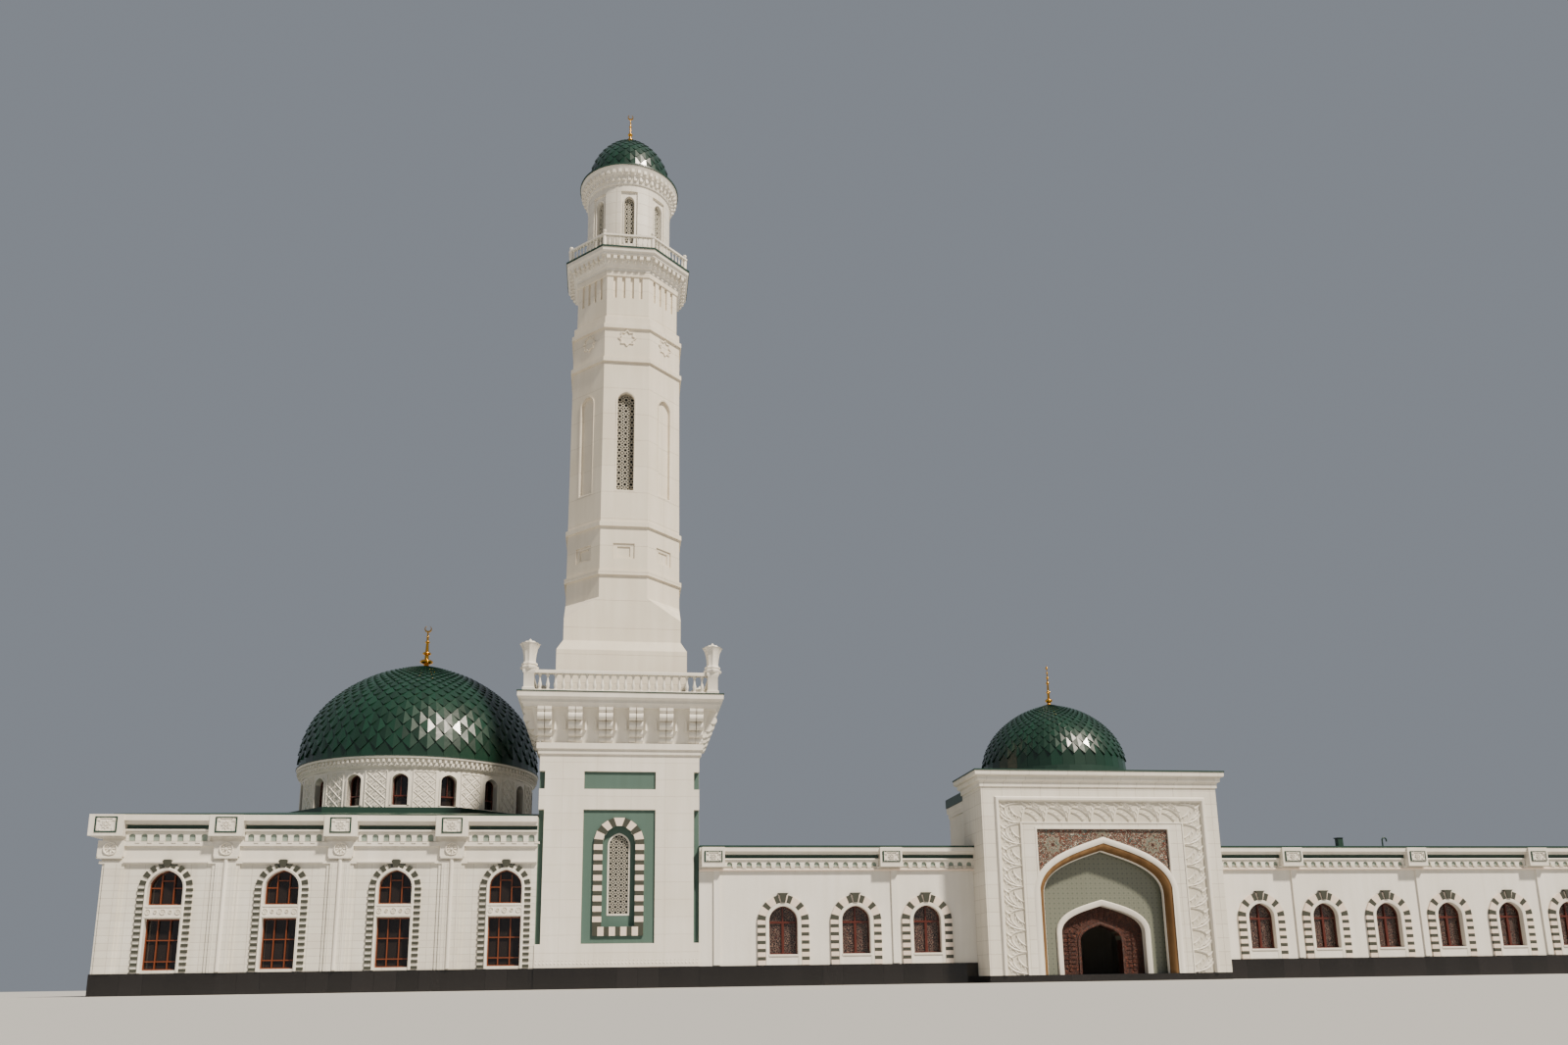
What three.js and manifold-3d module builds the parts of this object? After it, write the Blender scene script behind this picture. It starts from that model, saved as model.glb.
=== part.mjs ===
// A mosque at half size: a square prayer hall with a drum and dome, an octagonal minaret on a
// square tower, two low wings with arched windows, and a portal with a pointed arch and a dome.
// Units are millimetres, +Z is up, and the street front faces -Y. The origin is on the ground
// under the minaret's axis.
import * as THREE from 'three';
import { mergeVertices } from 'three/addons/utils/BufferGeometryUtils.js';
import { ConvexGeometry } from 'three/addons/geometries/ConvexGeometry.js';
import Module from 'manifold-3d';

const wasm = await Module();
wasm.setup();

// Driving dimensions. M is one metre of the real building at 1:2.
const M = 500;
const GAP = 0.3;

const FRONT = -3.45 * M;
const FLOOR = 0.3 * M;
const PLINTH = 0.88 * M;
const PLINTH_PROUD = 0.07 * M;
const WALL = 0.3 * M;
const RING_WALL = 0.5 * M;
const GLASS = 0.05 * M;

const tower = {
  half: 3.5 * M,
  wall: 0.4 * M,
  baseTop: 10.1 * M,
  notch: 0.24 * M,
  recess: { halfWidth: 1.57 * M, depth: 0.1 * M, low: [1.88 * M, 7.66 * M], high: [8.57 * M, 9.36 * M] },
  window: { half: 0.7 * M, bottom: 2.6 * M, spring: 6.22 * M, rise: 0.74 * M },
  frame: { half: 1.09 * M, bottom: 2.27 * M, spring: 6.13 * M, rise: 1.09 * M, proud: 0.06 * M },
  tableTop: 12.1 * M,
  tableHalf: 4.2 * M,
  corbelPitch: 1.33 * M,
  corbelsPerSide: 6,
  corniceTop: 12.76 * M,
  corniceHalf: 4.51 * M,
  railTop: 13.77 * M,
  railLine: 4.05 * M,
  vaseTop: 15.21 * M,
  balustersPerSide: 11,
};

const shaft = {
  pedestalHalf: 2.96 * M,
  pedestalTop: 15.07 * M,
  squareHalf: 2.68 * M,
  chamferTop: 15.58 * M,
  squareTop: 16.6 * M,
  octagonFoot: 17.7 * M,
  apothemLow: 2.69 * M,
  apothemMid: 2.62 * M,
  wall: 0.4 * M,
  midTop: 32.2 * M,
  ringHeights: [18.9 * M, 21.31 * M, 29.86 * M, 31.66 * M],
  ringHeight: 0.22 * M,
  ringProud: 0.1 * M,
  square: { halfWidth: 0.5 * M, bottom: 19.63 * M, top: 20.38 * M, depth: 0.12 * M },
  arch: { half: 0.44 * M, bottom: 23.04 * M, spring: 27.7 * M, rise: 0.49 * M, depth: 0.15 * M },
  topApothem: 2.48 * M,
  topTop: 34.75 * M,
  slot: { width: 0.17 * M, bottom: 33.32 * M, top: 34.5 * M, depth: 0.1 * M, pitch: 0.42 * M },
};

const balcony = {
  steps: [
    [2.6 * M, 34.75 * M, 35.0 * M],
    [2.78 * M, 35.0 * M, 35.25 * M],
    [2.95 * M, 35.25 * M, 35.5 * M],
    [3.08 * M, 35.5 * M, 35.84 * M],
  ],
  hole: 1.85 * M,
  railTop: 36.55 * M,
  railApothem: 2.92 * M,
  balustersPerFace: 3,
};

const lantern = {
  radius: 2.15 * M,
  wall: 0.3 * M,
  top: 40.0 * M,
  openings: 8,
  opening: { half: 0.27 * M, bottom: 36.7 * M, spring: 39.0 * M, rise: 0.35 * M },
  frame: { half: 0.42 * M, bottom: 36.5 * M, top: 39.63 * M, depth: 0.06 * M },
  corniceTop: 41.0 * M,
  corniceRadius: 2.57 * M,
  domeRadius: 2.12 * M,
  domeTop: 44.05 * M,
  finialTop: 45.86 * M,
};

const hall = {
  left: -21.0 * M,
  right: 0.46 * M,
  back: FRONT + 21.46 * M,
  wallTop: 5.31 * M,
  corniceTop: 7.3 * M,
  firstWindow: -18.46 * M,
  pitch: 4.56 * M,
  pilasterHalf: 0.54 * M,
  pilasterProud: 0.12 * M,
  blockHalf: 0.67 * M,
  octagonApothem: 7.4 * M,
  octagonTop: 8.2 * M,
  drumRadius: 5.7 * M,
  drumTop: 10.3 * M,
  drumCorniceTop: 10.9 * M,
  drumCorniceRadius: 6.0 * M,
  domeRadius: 5.9 * M,
  domeTop: 16.8 * M,
  finialTop: 19.05 * M,
  drumWindows: 16,
};

const hallWindow = {
  half: 0.695 * M,
  lower: [1.0 * M, 3.06 * M],
  upperBottom: 3.62 * M,
  spring: 4.3 * M,
  rise: 0.76 * M,
  frameHalf: 1.065 * M,
  frameRise: 1.0 * M,
  frameProud: 0.06 * M,
};

const wing = {
  depth: 6.5 * M,
  wallTop: 4.98 * M,
  corniceTop: 5.98 * M,
  roofTop: 6.45 * M,
  blockHalf: 0.5 * M,
  blockProud: 0.44 * M,
  blockBottom: 5.12 * M,
  runOn: 2 * M,
  roofHip: 3 * M,
  roofThick: 0.1 * M,
  roofHollow: 0.3 * M,
  roofRest: 0.7 * M,
};

const wingWindow = {
  half: 0.645 * M,
  bottom: 1.33 * M,
  spring: 2.8 * M,
  rise: 0.645 * M,
  frameHalf: 1.13 * M,
  frameRise: 1.08 * M,
  frameProud: 0.06 * M,
  point: 0.97,
};

const middleWindows = [7.2 * M, 10.45 * M, 13.68 * M];
const middleBlocks = [4.1 * M, 12.06 * M];
const middleBayJoints = [8.825 * M, 12.06 * M];
const rightWindows = [29.68, 32.9, 36.1, 39.3, 42.5, 45.7].map((x) => x * M);
const rightBlocks = [31.35, 37.75, 44.15].map((x) => x * M);
const rightEnd = 47.85 * M;

const ARCH_POINT = 0.8;
const portal = {
  centre: 21.5 * M,
  half: 5.57 * M,
  front: -5.2 * M,
  back: -2.36 * M,
  top: 8.54 * M,
  corniceTop: 9.3 * M,
  corniceProud: 0.32 * M,
  frameWidth: 0.75 * M,
  leafWidth: 1.04 * M,
  leafTop: 7.95 * M,
  leafDepth: 0.06 * M,
  fieldHalf: 3.1 * M,
  fieldTop: 6.67 * M,
  fieldDepth: 0.1 * M,
  arch: { half: 2.95 * M, spring: 3.75 * M, rise: 2.1 * M },
  trimWidth: 0.14 * M,
  trimProud: 0.1 * M,
  nicheDepth: 0.75 * M,
  doorWall: 0.9 * M,
  inner: { half: 2.0 * M, spring: 2.1 * M, rise: 1.25 * M, depth: 0.35 * M },
  door: { half: 0.98 * M, spring: 1.75 * M, rise: 0.72 * M },
  hallHalf: 4.3 * M,
  hallBack: 4.3 * M,
  wall: 0.4 * M,
  wallTop: 8.9 * M,
  domeY: 0.3 * M,
  drumTop: 9.95 * M,
  domeRadius: 3.5 * M,
  domeTop: 13.65 * M,
  finialTop: 15.75 * M,
};

// Finishes.
const finish = (color, roughness, metalness = 0) =>
  new THREE.MeshStandardMaterial({ color, roughness, metalness });
const marble = finish(0xd8d2c6, 0.55);
const plaster = finish(0xcfc7b6, 0.75);
const granite = finish(0x232120, 0.2);
const greenTile = finish(0x1e4b3c, 0.25);
const greenSheet = finish(0x24402f, 0.5);
const gold = finish(0xc9a24a, 0.3, 1);
const glass = finish(0x2a2f31, 0.1);
const lattice = finish(0xe6e2d8, 0.6);
const paleTile = finish(0x9fb0a4, 0.35);

// Signed volume of an indexed triangle list, positive when its faces point out.
function signedVolume(positions, triangles) {
  let sum = 0;
  for (let i = 0; i < triangles.length; i += 3) {
    const [a, b, c] = [triangles[i] * 3, triangles[i + 1] * 3, triangles[i + 2] * 3];
    sum += positions[a] * (positions[b + 1] * positions[c + 2] - positions[b + 2] * positions[c + 1])
      + positions[a + 1] * (positions[b + 2] * positions[c] - positions[b] * positions[c + 2])
      + positions[a + 2] * (positions[b] * positions[c + 1] - positions[b + 1] * positions[c]);
  }
  return sum / 6;
}

// A closed three.js geometry as a solid that can be joined and cut.
function solid(geometry) {
  const bare = geometry.clone();
  for (const name of Object.keys(bare.attributes)) {
    if (name !== 'position') bare.deleteAttribute(name);
  }
  const merged = mergeVertices(bare, 1e-3);
  const positions = merged.attributes.position.array;
  const triangles = [];
  for (let i = 0; i < merged.index.count; i += 3) {
    const [a, b, c] = [0, 1, 2].map((k) => merged.index.getX(i + k));
    if (a !== b && b !== c && c !== a) triangles.push(a, b, c);
  }
  if (signedVolume(positions, triangles) < 0) {
    for (let i = 0; i < triangles.length; i += 3) {
      [triangles[i + 1], triangles[i + 2]] = [triangles[i + 2], triangles[i + 1]];
    }
  }
  return new wasm.Manifold(new wasm.Mesh({
    numProp: 3,
    vertProperties: new Float32Array(positions),
    triVerts: new Uint32Array(triangles),
  }));
}

const join = (parts) => parts.reduce((sum, part) => sum.add(part));
const cut = (body, tools) => (tools.length ? body.subtract(join(tools)) : body);

function mesh(name, body, material, position = [0, 0, 0], turn = 0) {
  const data = body.getMesh();
  const geometry = new THREE.BufferGeometry();
  geometry.setAttribute('position', new THREE.BufferAttribute(data.vertProperties, 3));
  geometry.setIndex(new THREE.BufferAttribute(data.triVerts, 1));
  const object = new THREE.Mesh(geometry, material);
  object.name = name;
  object.position.set(...position);
  object.rotation.z = turn;
  return object;
}

function box(x0, x1, y0, y1, z0, z1) {
  const geometry = new THREE.BoxGeometry(x1 - x0, y1 - y0, z1 - z0);
  return solid(geometry.translate((x0 + x1) / 2, (y0 + y1) / 2, (z0 + z1) / 2));
}

const squareBlock = (half, z0, z1) => box(-half, half, -half, half, z0, z1);

// A shape drawn in x and z, extruded from y0 back to y1.
function plate(shape, y0, y1, curveSegments = 4) {
  const geometry = new THREE.ExtrudeGeometry(shape, { depth: y1 - y0, bevelEnabled: false, curveSegments });
  return solid(geometry.rotateX(Math.PI / 2).translate(0, y1, 0));
}

// The same plate turned about the vertical axis, for the sides of towers.
function turnedPlate(shape, y0, y1, turn, curveSegments = 4) {
  const geometry = new THREE.ExtrudeGeometry(shape, { depth: y1 - y0, bevelEnabled: false, curveSegments });
  return solid(geometry.rotateX(Math.PI / 2).translate(0, y1, 0).rotateZ(turn));
}

function rectangle(x0, x1, z0, z1) {
  const shape = new THREE.Shape();
  shape.moveTo(x0, z0);
  shape.lineTo(x1, z0);
  shape.lineTo(x1, z1);
  shape.lineTo(x0, z1);
  shape.closePath();
  return shape;
}

// An opening with a slightly pointed arch: straight sides, then a curve up to the apex.
function archShape(x, half, bottom, spring, rise, point = 0.92) {
  const shape = new THREE.Shape();
  shape.moveTo(x - half, bottom);
  shape.lineTo(x + half, bottom);
  shape.lineTo(x + half, spring);
  shape.bezierCurveTo(x + half, spring + 0.6 * rise, x + 0.45 * half, spring + point * rise, x,
    spring + rise);
  shape.bezierCurveTo(x - 0.45 * half, spring + point * rise, x - half, spring + 0.6 * rise, x - half,
    spring);
  shape.closePath();
  return shape;
}

// An upright prism with equal sides whose flat faces lie at the given distance from the axis.
function prism(sides, apothem, z0, z1, topApothem = apothem) {
  const corner = Math.cos(Math.PI / sides);
  const geometry = new THREE.CylinderGeometry(topApothem / corner, apothem / corner, z1 - z0, sides);
  geometry.rotateY(Math.PI / sides).rotateX(Math.PI / 2).translate(0, 0, (z0 + z1) / 2);
  return solid(geometry);
}

// A turned body from [radius, height] points, closed on the axis or on itself.
function turned(points, segments) {
  const profile = points.map(([radius, height]) => new THREE.Vector2(radius, height));
  return solid(new THREE.LatheGeometry(profile, segments).rotateX(Math.PI / 2));
}

function hull(points) {
  return solid(new ConvexGeometry(points.map(([x, y, z]) => new THREE.Vector3(x, y, z))));
}

const rectanglePoints = (x0, x1, y0, y1, z) => [[x0, y0, z], [x1, y0, z], [x1, y1, z], [x0, y1, z]];

function octagonPoints(apothem, z, x = 0, y = 0) {
  const radius = apothem / Math.cos(Math.PI / 8);
  return Array.from({ length: 8 }, (_, i) => {
    const angle = Math.PI / 8 + (i * Math.PI) / 4;
    return [x + radius * Math.cos(angle), y + radius * Math.sin(angle), z];
  });
}

// A pointed dome: upright at the foot, a round shoulder, and an almost straight rise to the tip.
function domeProfile(radius, foot, top, steps) {
  const curve = new THREE.CubicBezierCurve(
    new THREE.Vector2(radius, foot),
    new THREE.Vector2(radius * 1.03, foot + (top - foot) * 0.62),
    new THREE.Vector2(radius * 0.42, foot + (top - foot) * 0.9),
    new THREE.Vector2(0, top),
  );
  return curve.getPoints(steps).map((point) => [point.x, point.y]);
}

function domeShell(radius, foot, top, thickness, segments) {
  const outer = domeProfile(radius, foot, top, 8);
  const inner = domeProfile(radius - thickness, foot, top - thickness, 4);
  return turned([...outer, ...inner.reverse(), outer[0]], segments);
}

// A gilded rod with balls and a spike, standing on a dome.
function finialSolid(foot, top, width) {
  const height = top - foot;
  const at = (share, radius) => [radius * width, foot + share * height];
  return turned([
    at(0, 0), at(0, 1), at(0.1, 0.55), at(0.2, 0.4), at(0.23, 0.85), at(0.27, 0.4),
    at(0.5, 0.33), at(0.54, 0.6), at(0.58, 0.28), at(0.66, 0.5), at(0.72, 0.28),
    at(0.78, 0.42), at(0.84, 0.2), at(0.87, 0.32), at(0.9, 0.12), at(1, 0),
  ], 8);
}

// Entablature layers round a rectangle: [proud, z0, z1] from the bottom up.
const hallLayers = [
  [0.12, 5.31, 5.42], [0.04, 5.42, 6.04], [0.16, 6.04, 6.22], [0.08, 6.22, 6.62],
  [0.24, 6.62, 6.72], [0.14, 6.72, 6.92], [0.34, 6.92, 7.06], [0.48, 7.06, 7.3],
];
const wingLayers = [
  [0.1, 4.98, 5.07], [0.05, 5.07, 5.4], [0.16, 5.4, 5.5], [0.1, 5.5, 5.68], [0.26, 5.68, 5.8],
    [0.36, 5.8, 5.98],
];

function ringLayers(layers, x0, x1, y0, y1, inset) {
  const height = [layers[0][1] * M - 1, layers[layers.length - 1][2] * M + 1];
  const outside = join(layers.map(([proud, z0, z1]) =>
    box(x0 - proud * M, x1 + proud * M, y0 - proud * M, y1 + proud * M, z0 * M, z1 * M)));
  return cut(outside, [box(x0 + inset, x1 - inset, y0 + inset, y1 - inset, ...height)]);
}

// The space taken by the square tower and by the portal, which the low buildings are cut round.
const towerSpace = () => box(-tower.half - GAP, tower.half + GAP, -tower.half - 2 * M, tower.half + GAP, -1,
  tower.tableTop);
const portalSpace = () => box(portal.centre - portal.half - GAP, portal.centre + portal.half + GAP,
  portal.front - 1, portal.back + GAP, -1, portal.corniceTop);
const entranceSpace = () => box(portal.centre - portal.hallHalf - GAP,
  portal.centre + portal.hallHalf + GAP,
  portal.back - M, portal.hallBack + M, -1, portal.wallTop);

// Walls are drawn facing -Y with the outer face on y = 0 and are then placed and turned.
function hallWall(from, to, windows, pilasters) {
  const top = hall.wallTop - GAP;
  const bottom = PLINTH + GAP;
  const wall = box(from, to, 0, WALL, bottom, top);
  const frames = windows.map((x) => plate(
    archShape(x, hallWindow.frameHalf, bottom, hallWindow.spring, hallWindow.frameRise),
    -hallWindow.frameProud, 1));
  const piers = pilasters.flatMap(([x, half]) => [
    box(x - half, x + half, -hall.pilasterProud / 2, 1, bottom, top),
    box(x - half * 0.75, x + half * 0.75, -hall.pilasterProud, 1, bottom, top),
  ]);
  const openings = windows.flatMap((x) => [
    box(x - hallWindow.half, x + hallWindow.half, -M, M, ...hallWindow.lower),
    plate(archShape(x, hallWindow.half, hallWindow.upperBottom, hallWindow.spring, hallWindow.rise), -M, M),
  ]);
  return cut(join([wall, ...frames, ...piers]), openings);
}

function wingWall(from, to, windows) {
  const top = wing.wallTop - GAP;
  const bottom = PLINTH + GAP;
  const wall = box(from, to, 0, WALL, bottom, top);
  const frames = windows.map((x) => plate(
    archShape(x, wingWindow.frameHalf, bottom, wingWindow.spring, wingWindow.frameRise, wingWindow.point),
    -wingWindow.frameProud, 1));
  const openings = windows.map((x) => plate(
    archShape(x, wingWindow.half, wingWindow.bottom, wingWindow.spring, wingWindow.rise, wingWindow.point),
    -M, M));
  return cut(join([wall, ...frames]), openings);
}

const evenly = (from, to, count) => Array.from({ length: count },
  (_, i) => from + ((to - from) * (i + 0.5)) / count);

function makeHall() {
  const group = new THREE.Group();
  const { left, right, back } = hall;
  const centreX = (left + right) / 2;
  const centreY = (FRONT + back) / 2;
  const half = (right - left) / 2;
  const cornerPier = 0.43 * M;

  const floor = join([
    box(left, right, FRONT, back, 0, FLOOR),
    cut(box(left - PLINTH_PROUD, right + PLINTH_PROUD, FRONT - PLINTH_PROUD, back + PLINTH_PROUD, 0,
      PLINTH),
      [box(left + RING_WALL, right - RING_WALL, FRONT + RING_WALL, back - RING_WALL, -1, PLINTH + 1)]),
  ]);
  group.add(mesh('hall_base', cut(floor, [towerSpace()]), granite));

  const frontWindows = [0, 1, 2, 3].map((i) => hall.firstWindow + i * hall.pitch);
  const frontPiers = [0, 1, 2].map((i) => [frontWindows[i] + hall.pitch / 2, hall.pilasterHalf]);
  const frontWall = hallWall(left, -tower.half - GAP, frontWindows,
    [[left + cornerPier, cornerPier], ...frontPiers]);
  group.add(mesh('hall_front_wall', frontWall, marble, [0, FRONT, 0]));

  const sideBays = evenly(-half + cornerPier, half - cornerPier, 4);
  const sidePiers = [-1, 0, 1].map((i) => [i * (half - cornerPier) / 2, hall.pilasterHalf]);
  const backWall = hallWall(-half, half, sideBays,
    [[-half + cornerPier, cornerPier], ...sidePiers, [half - cornerPier, cornerPier]]);
  group.add(mesh('hall_back_wall', backWall, marble, [centreX, back, 0], Math.PI));

  const sideEnd = half - WALL - GAP;
  const leftWall = hallWall(-sideEnd, sideEnd, sideBays,
    [...sidePiers, [-half + cornerPier * 1.6, cornerPier * 0.8],
      [half - cornerPier * 1.6, cornerPier * 0.8]]);
  group.add(mesh('hall_left_wall', leftWall, marble, [left, centreY, 0], -Math.PI / 2));

  const rightFrom = tower.half + GAP;
  const rightTo = back - WALL - GAP;
  const rightBays = evenly(rightFrom, rightTo, 3);
  const rightPiers = [0, 1].map((i) => [(rightBays[i] + rightBays[i + 1]) / 2, hall.pilasterHalf]);
  const rightWall = hallWall(rightFrom, rightTo, rightBays, rightPiers);
  group.add(mesh('hall_right_wall', rightWall, marble, [right, 0, 0], Math.PI / 2));

  const block = (x, y) => box(x - hall.blockHalf, x + hall.blockHalf, y - hall.blockHalf,
    y + hall.blockHalf,
    6.42 * M, hall.corniceTop);
  const medallion = (x, y) => box(x - 0.5 * M, x + 0.5 * M, y - 0.5 * M, y + 0.5 * M, 5.6 * M, 6.25 * M);
  const inFrom = hall.blockHalf - 0.52 * M;
  const inMedal = 0.5 * M - 0.2 * M;
  const frontBlocks = [left + inFrom, ...frontPiers.map(([x]) => x)];
  const backBlocks = [-half + inFrom, ...sidePiers.map(([x]) => x), half - inFrom].map((x) => centreX + x);
  const leftBlocks = sidePiers.map(([y]) => centreY + y);
  const rightBlocks = rightPiers.map(([y]) => y);
  const spots = (inset) => [
    ...frontBlocks.map((x, i) => [i ? x : left + inset, FRONT + inset]),
    ...backBlocks.map((x) => [Math.min(Math.max(x, left + inset), right - inset), back - inset]),
    ...leftBlocks.map((y) => [left + inset, y]),
    ...rightBlocks.map((y) => [right - inset, y]),
  ];
  const entablature = cut(
    join([
      ringLayers(hallLayers, left, right, FRONT, back, RING_WALL),
      ...spots(inFrom).map(([x, y]) => block(x, y)),
      ...spots(inMedal).map(([x, y]) => medallion(x, y)),
    ]),
    [
      box(left + RING_WALL, right - RING_WALL, FRONT + RING_WALL, back - RING_WALL, 5 * M, 8 * M),
      towerSpace(),
    ]);
  group.add(mesh('hall_entablature', entablature, marble));

  const eave = hall.corniceTop + GAP;
  const inset = 0.15 * M;
  const cover = hull([
    ...rectanglePoints(left + inset, right - inset, FRONT + inset, back - inset, eave),
    ...rectanglePoints(left + inset, right - inset, FRONT + inset, back - inset, eave + 0.12 * M),
    ...octagonPoints(hall.octagonApothem, hall.octagonTop - 0.25 * M, centreX, centreY),
  ]);
  const kerb = hull([
    ...octagonPoints(hall.octagonApothem, eave + 0.1 * M, centreX, centreY),
    ...octagonPoints(hall.octagonApothem, hall.octagonTop, centreX, centreY),
  ]);
  const under = hull([
    ...rectanglePoints(left + 0.8 * M, right - 0.8 * M, FRONT + 0.8 * M, back - 0.8 * M, eave - 1),
    ...octagonPoints(hall.octagonApothem - 0.6 * M, hall.octagonTop - 0.55 * M, centreX, centreY),
  ]);
  const well = solid(new THREE.CylinderGeometry(hall.drumRadius - 0.4 * M, hall.drumRadius - 0.4 * M,
    4 * M, 32)
    .rotateX(Math.PI / 2).translate(centreX, centreY, 8 * M));
  group.add(mesh('hall_roof', cut(cover.add(kerb), [under, well, towerSpace()]), greenSheet));

  const drumFoot = hall.octagonTop + GAP;
  const inside = hall.drumRadius - 0.4 * M;
  const tube = turned([[inside, drumFoot], [hall.drumRadius, drumFoot], [hall.drumRadius, hall.drumTop],
    [hall.drumCorniceRadius - 0.2 * M, hall.drumTop + 0.05 * M],
    [hall.drumCorniceRadius - 0.2 * M, hall.drumTop + 0.25 * M],
    [hall.drumCorniceRadius, hall.drumTop + 0.32 * M], [hall.drumCorniceRadius, hall.drumCorniceTop],
    [inside, hall.drumCorniceTop], [inside, drumFoot]], 32);
  const drumWindow = archShape(0, 0.37 * M, 8.55 * M, 9.75 * M, 0.3 * M);
  const drumWindows = Array.from({ length: hall.drumWindows }, (_, i) =>
    turnedPlate(drumWindow, -hall.drumRadius - 0.5 * M, -inside + 0.5 * M,
      (i * 2 * Math.PI) / hall.drumWindows, 3));
  group.add(mesh('hall_drum', cut(tube, drumWindows), marble, [centreX, centreY, 0]));

  const drumGlass = turned([[inside - GLASS, 8.4 * M], [inside - 1, 8.4 * M], [inside - 1, 10.2 * M],
    [inside - GLASS, 10.2 * M], [inside - GLASS, 8.4 * M]], 32);
  group.add(mesh('hall_drum_glazing', drumGlass, glass, [centreX, centreY, 0]));

  const dome = domeShell(hall.domeRadius, hall.drumCorniceTop + GAP, hall.domeTop, 0.3 * M, 32);
  group.add(mesh('hall_dome', dome, greenTile, [centreX, centreY, 0]));
  const finial = finialSolid(hall.domeTop - 0.12 * M, hall.finialTop, 0.3 * M);
  group.add(mesh('hall_finial',
    cut(finial, [domeCore(hall.domeRadius, hall.drumCorniceTop, hall.domeTop)]), gold,
    [centreX, centreY, 0]));

  const sheet = WALL + GAP;
  const sheetRing = cut(
    box(left + sheet, right - sheet, FRONT + sheet, back - sheet, PLINTH + GAP, hall.wallTop - GAP),
    [
      box(left + sheet + GLASS, right - sheet - GLASS, FRONT + sheet + GLASS, back - sheet - GLASS, 0,
        6 * M),
      towerSpace(),
    ]);
  group.add(mesh('hall_glazing', sheetRing, glass));
  return group;
}

// What a dome fills, a hair larger, so that its finial sits on it without overlap.
function domeCore(radius, foot, top) {
  return turned([[0, foot], ...domeProfile(radius + GAP, foot, top + GAP, 10)], 40);
}

function makeTowerBase() {
  const group = new THREE.Group();
  const { half, wall, notch, recess, window: opening, frame } = tower;
  const slabInner = half - wall;
  const shell = cut(squareBlock(half, PLINTH - 1, tower.baseTop),
    [squareBlock(slabInner, FLOOR, tower.baseTop + 1)]);
  const foot = cut(squareBlock(half + PLINTH_PROUD, 0, PLINTH),
    [squareBlock(slabInner, FLOOR, PLINTH + 1)]);
  const faces = [0, 1, 2, 3].map((i) => (i * Math.PI) / 2);
  const dents = faces.flatMap((turn) => [
    turnedPlate(rectangle(-recess.halfWidth, recess.halfWidth, ...recess.high), -half - 1,
      -half + recess.depth, turn),
    turnedPlate(rectangle(-half - 1, -half + notch, ...recess.high), -half - 1, -half + notch, turn),
    turnedPlate(rectangle(-half - 1, -half + notch, ...recess.low), -half - 1, -half + notch, turn),
  ]);
  const lowDent = box(-recess.halfWidth, recess.halfWidth, -half - 1, -half + recess.depth, ...recess.low);
  const surround = plate(archShape(0, frame.half, frame.bottom, frame.spring, frame.rise),
    -half + recess.depth - frame.proud, -half + recess.depth + 1);
  const hole = plate(archShape(0, opening.half, opening.bottom, opening.spring, opening.rise), -half - 1,
    -half + wall + 1);
  const base = cut(cut(shell, [...dents, lowDent]).add(foot).add(surround), [hole]);
  group.add(mesh('tower_base', cut(base, [
    box(-half - M, -half, -half - M, half + M, -1, PLINTH + 1),
    box(half, half + M, -half - M, half + M, -1, PLINTH + 1),
    box(-half - M, half + M, half, half + M, -1, PLINTH + 1),
  ]), marble));

  const screen = box(-opening.half - 0.1 * M, opening.half + 0.1 * M, -half + wall + GAP,
    -half + wall + 0.06 * M,
    opening.bottom - 0.1 * M, opening.spring + opening.rise + 0.1 * M);
  group.add(mesh('tower_lattice', screen, lattice));
  return group;
}

// One scroll bracket: a curled side outline with the wall on y = 0, facing -Y.
function bracketShape(reach, bottom, top) {
  const height = top - bottom;
  const shape = new THREE.Shape();
  shape.moveTo(0, bottom);
  shape.lineTo(reach * 0.35, bottom);
  shape.bezierCurveTo(reach * 0.6, bottom + 0.2 * height, reach * 0.35, bottom + 0.35 * height,
    reach * 0.6, bottom + 0.5 * height);
  shape.bezierCurveTo(reach * 0.95, bottom + 0.55 * height, reach * 0.95, bottom + 0.8 * height, reach,
    top);
  shape.lineTo(0, top);
  shape.closePath();
  return shape;
}

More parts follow.
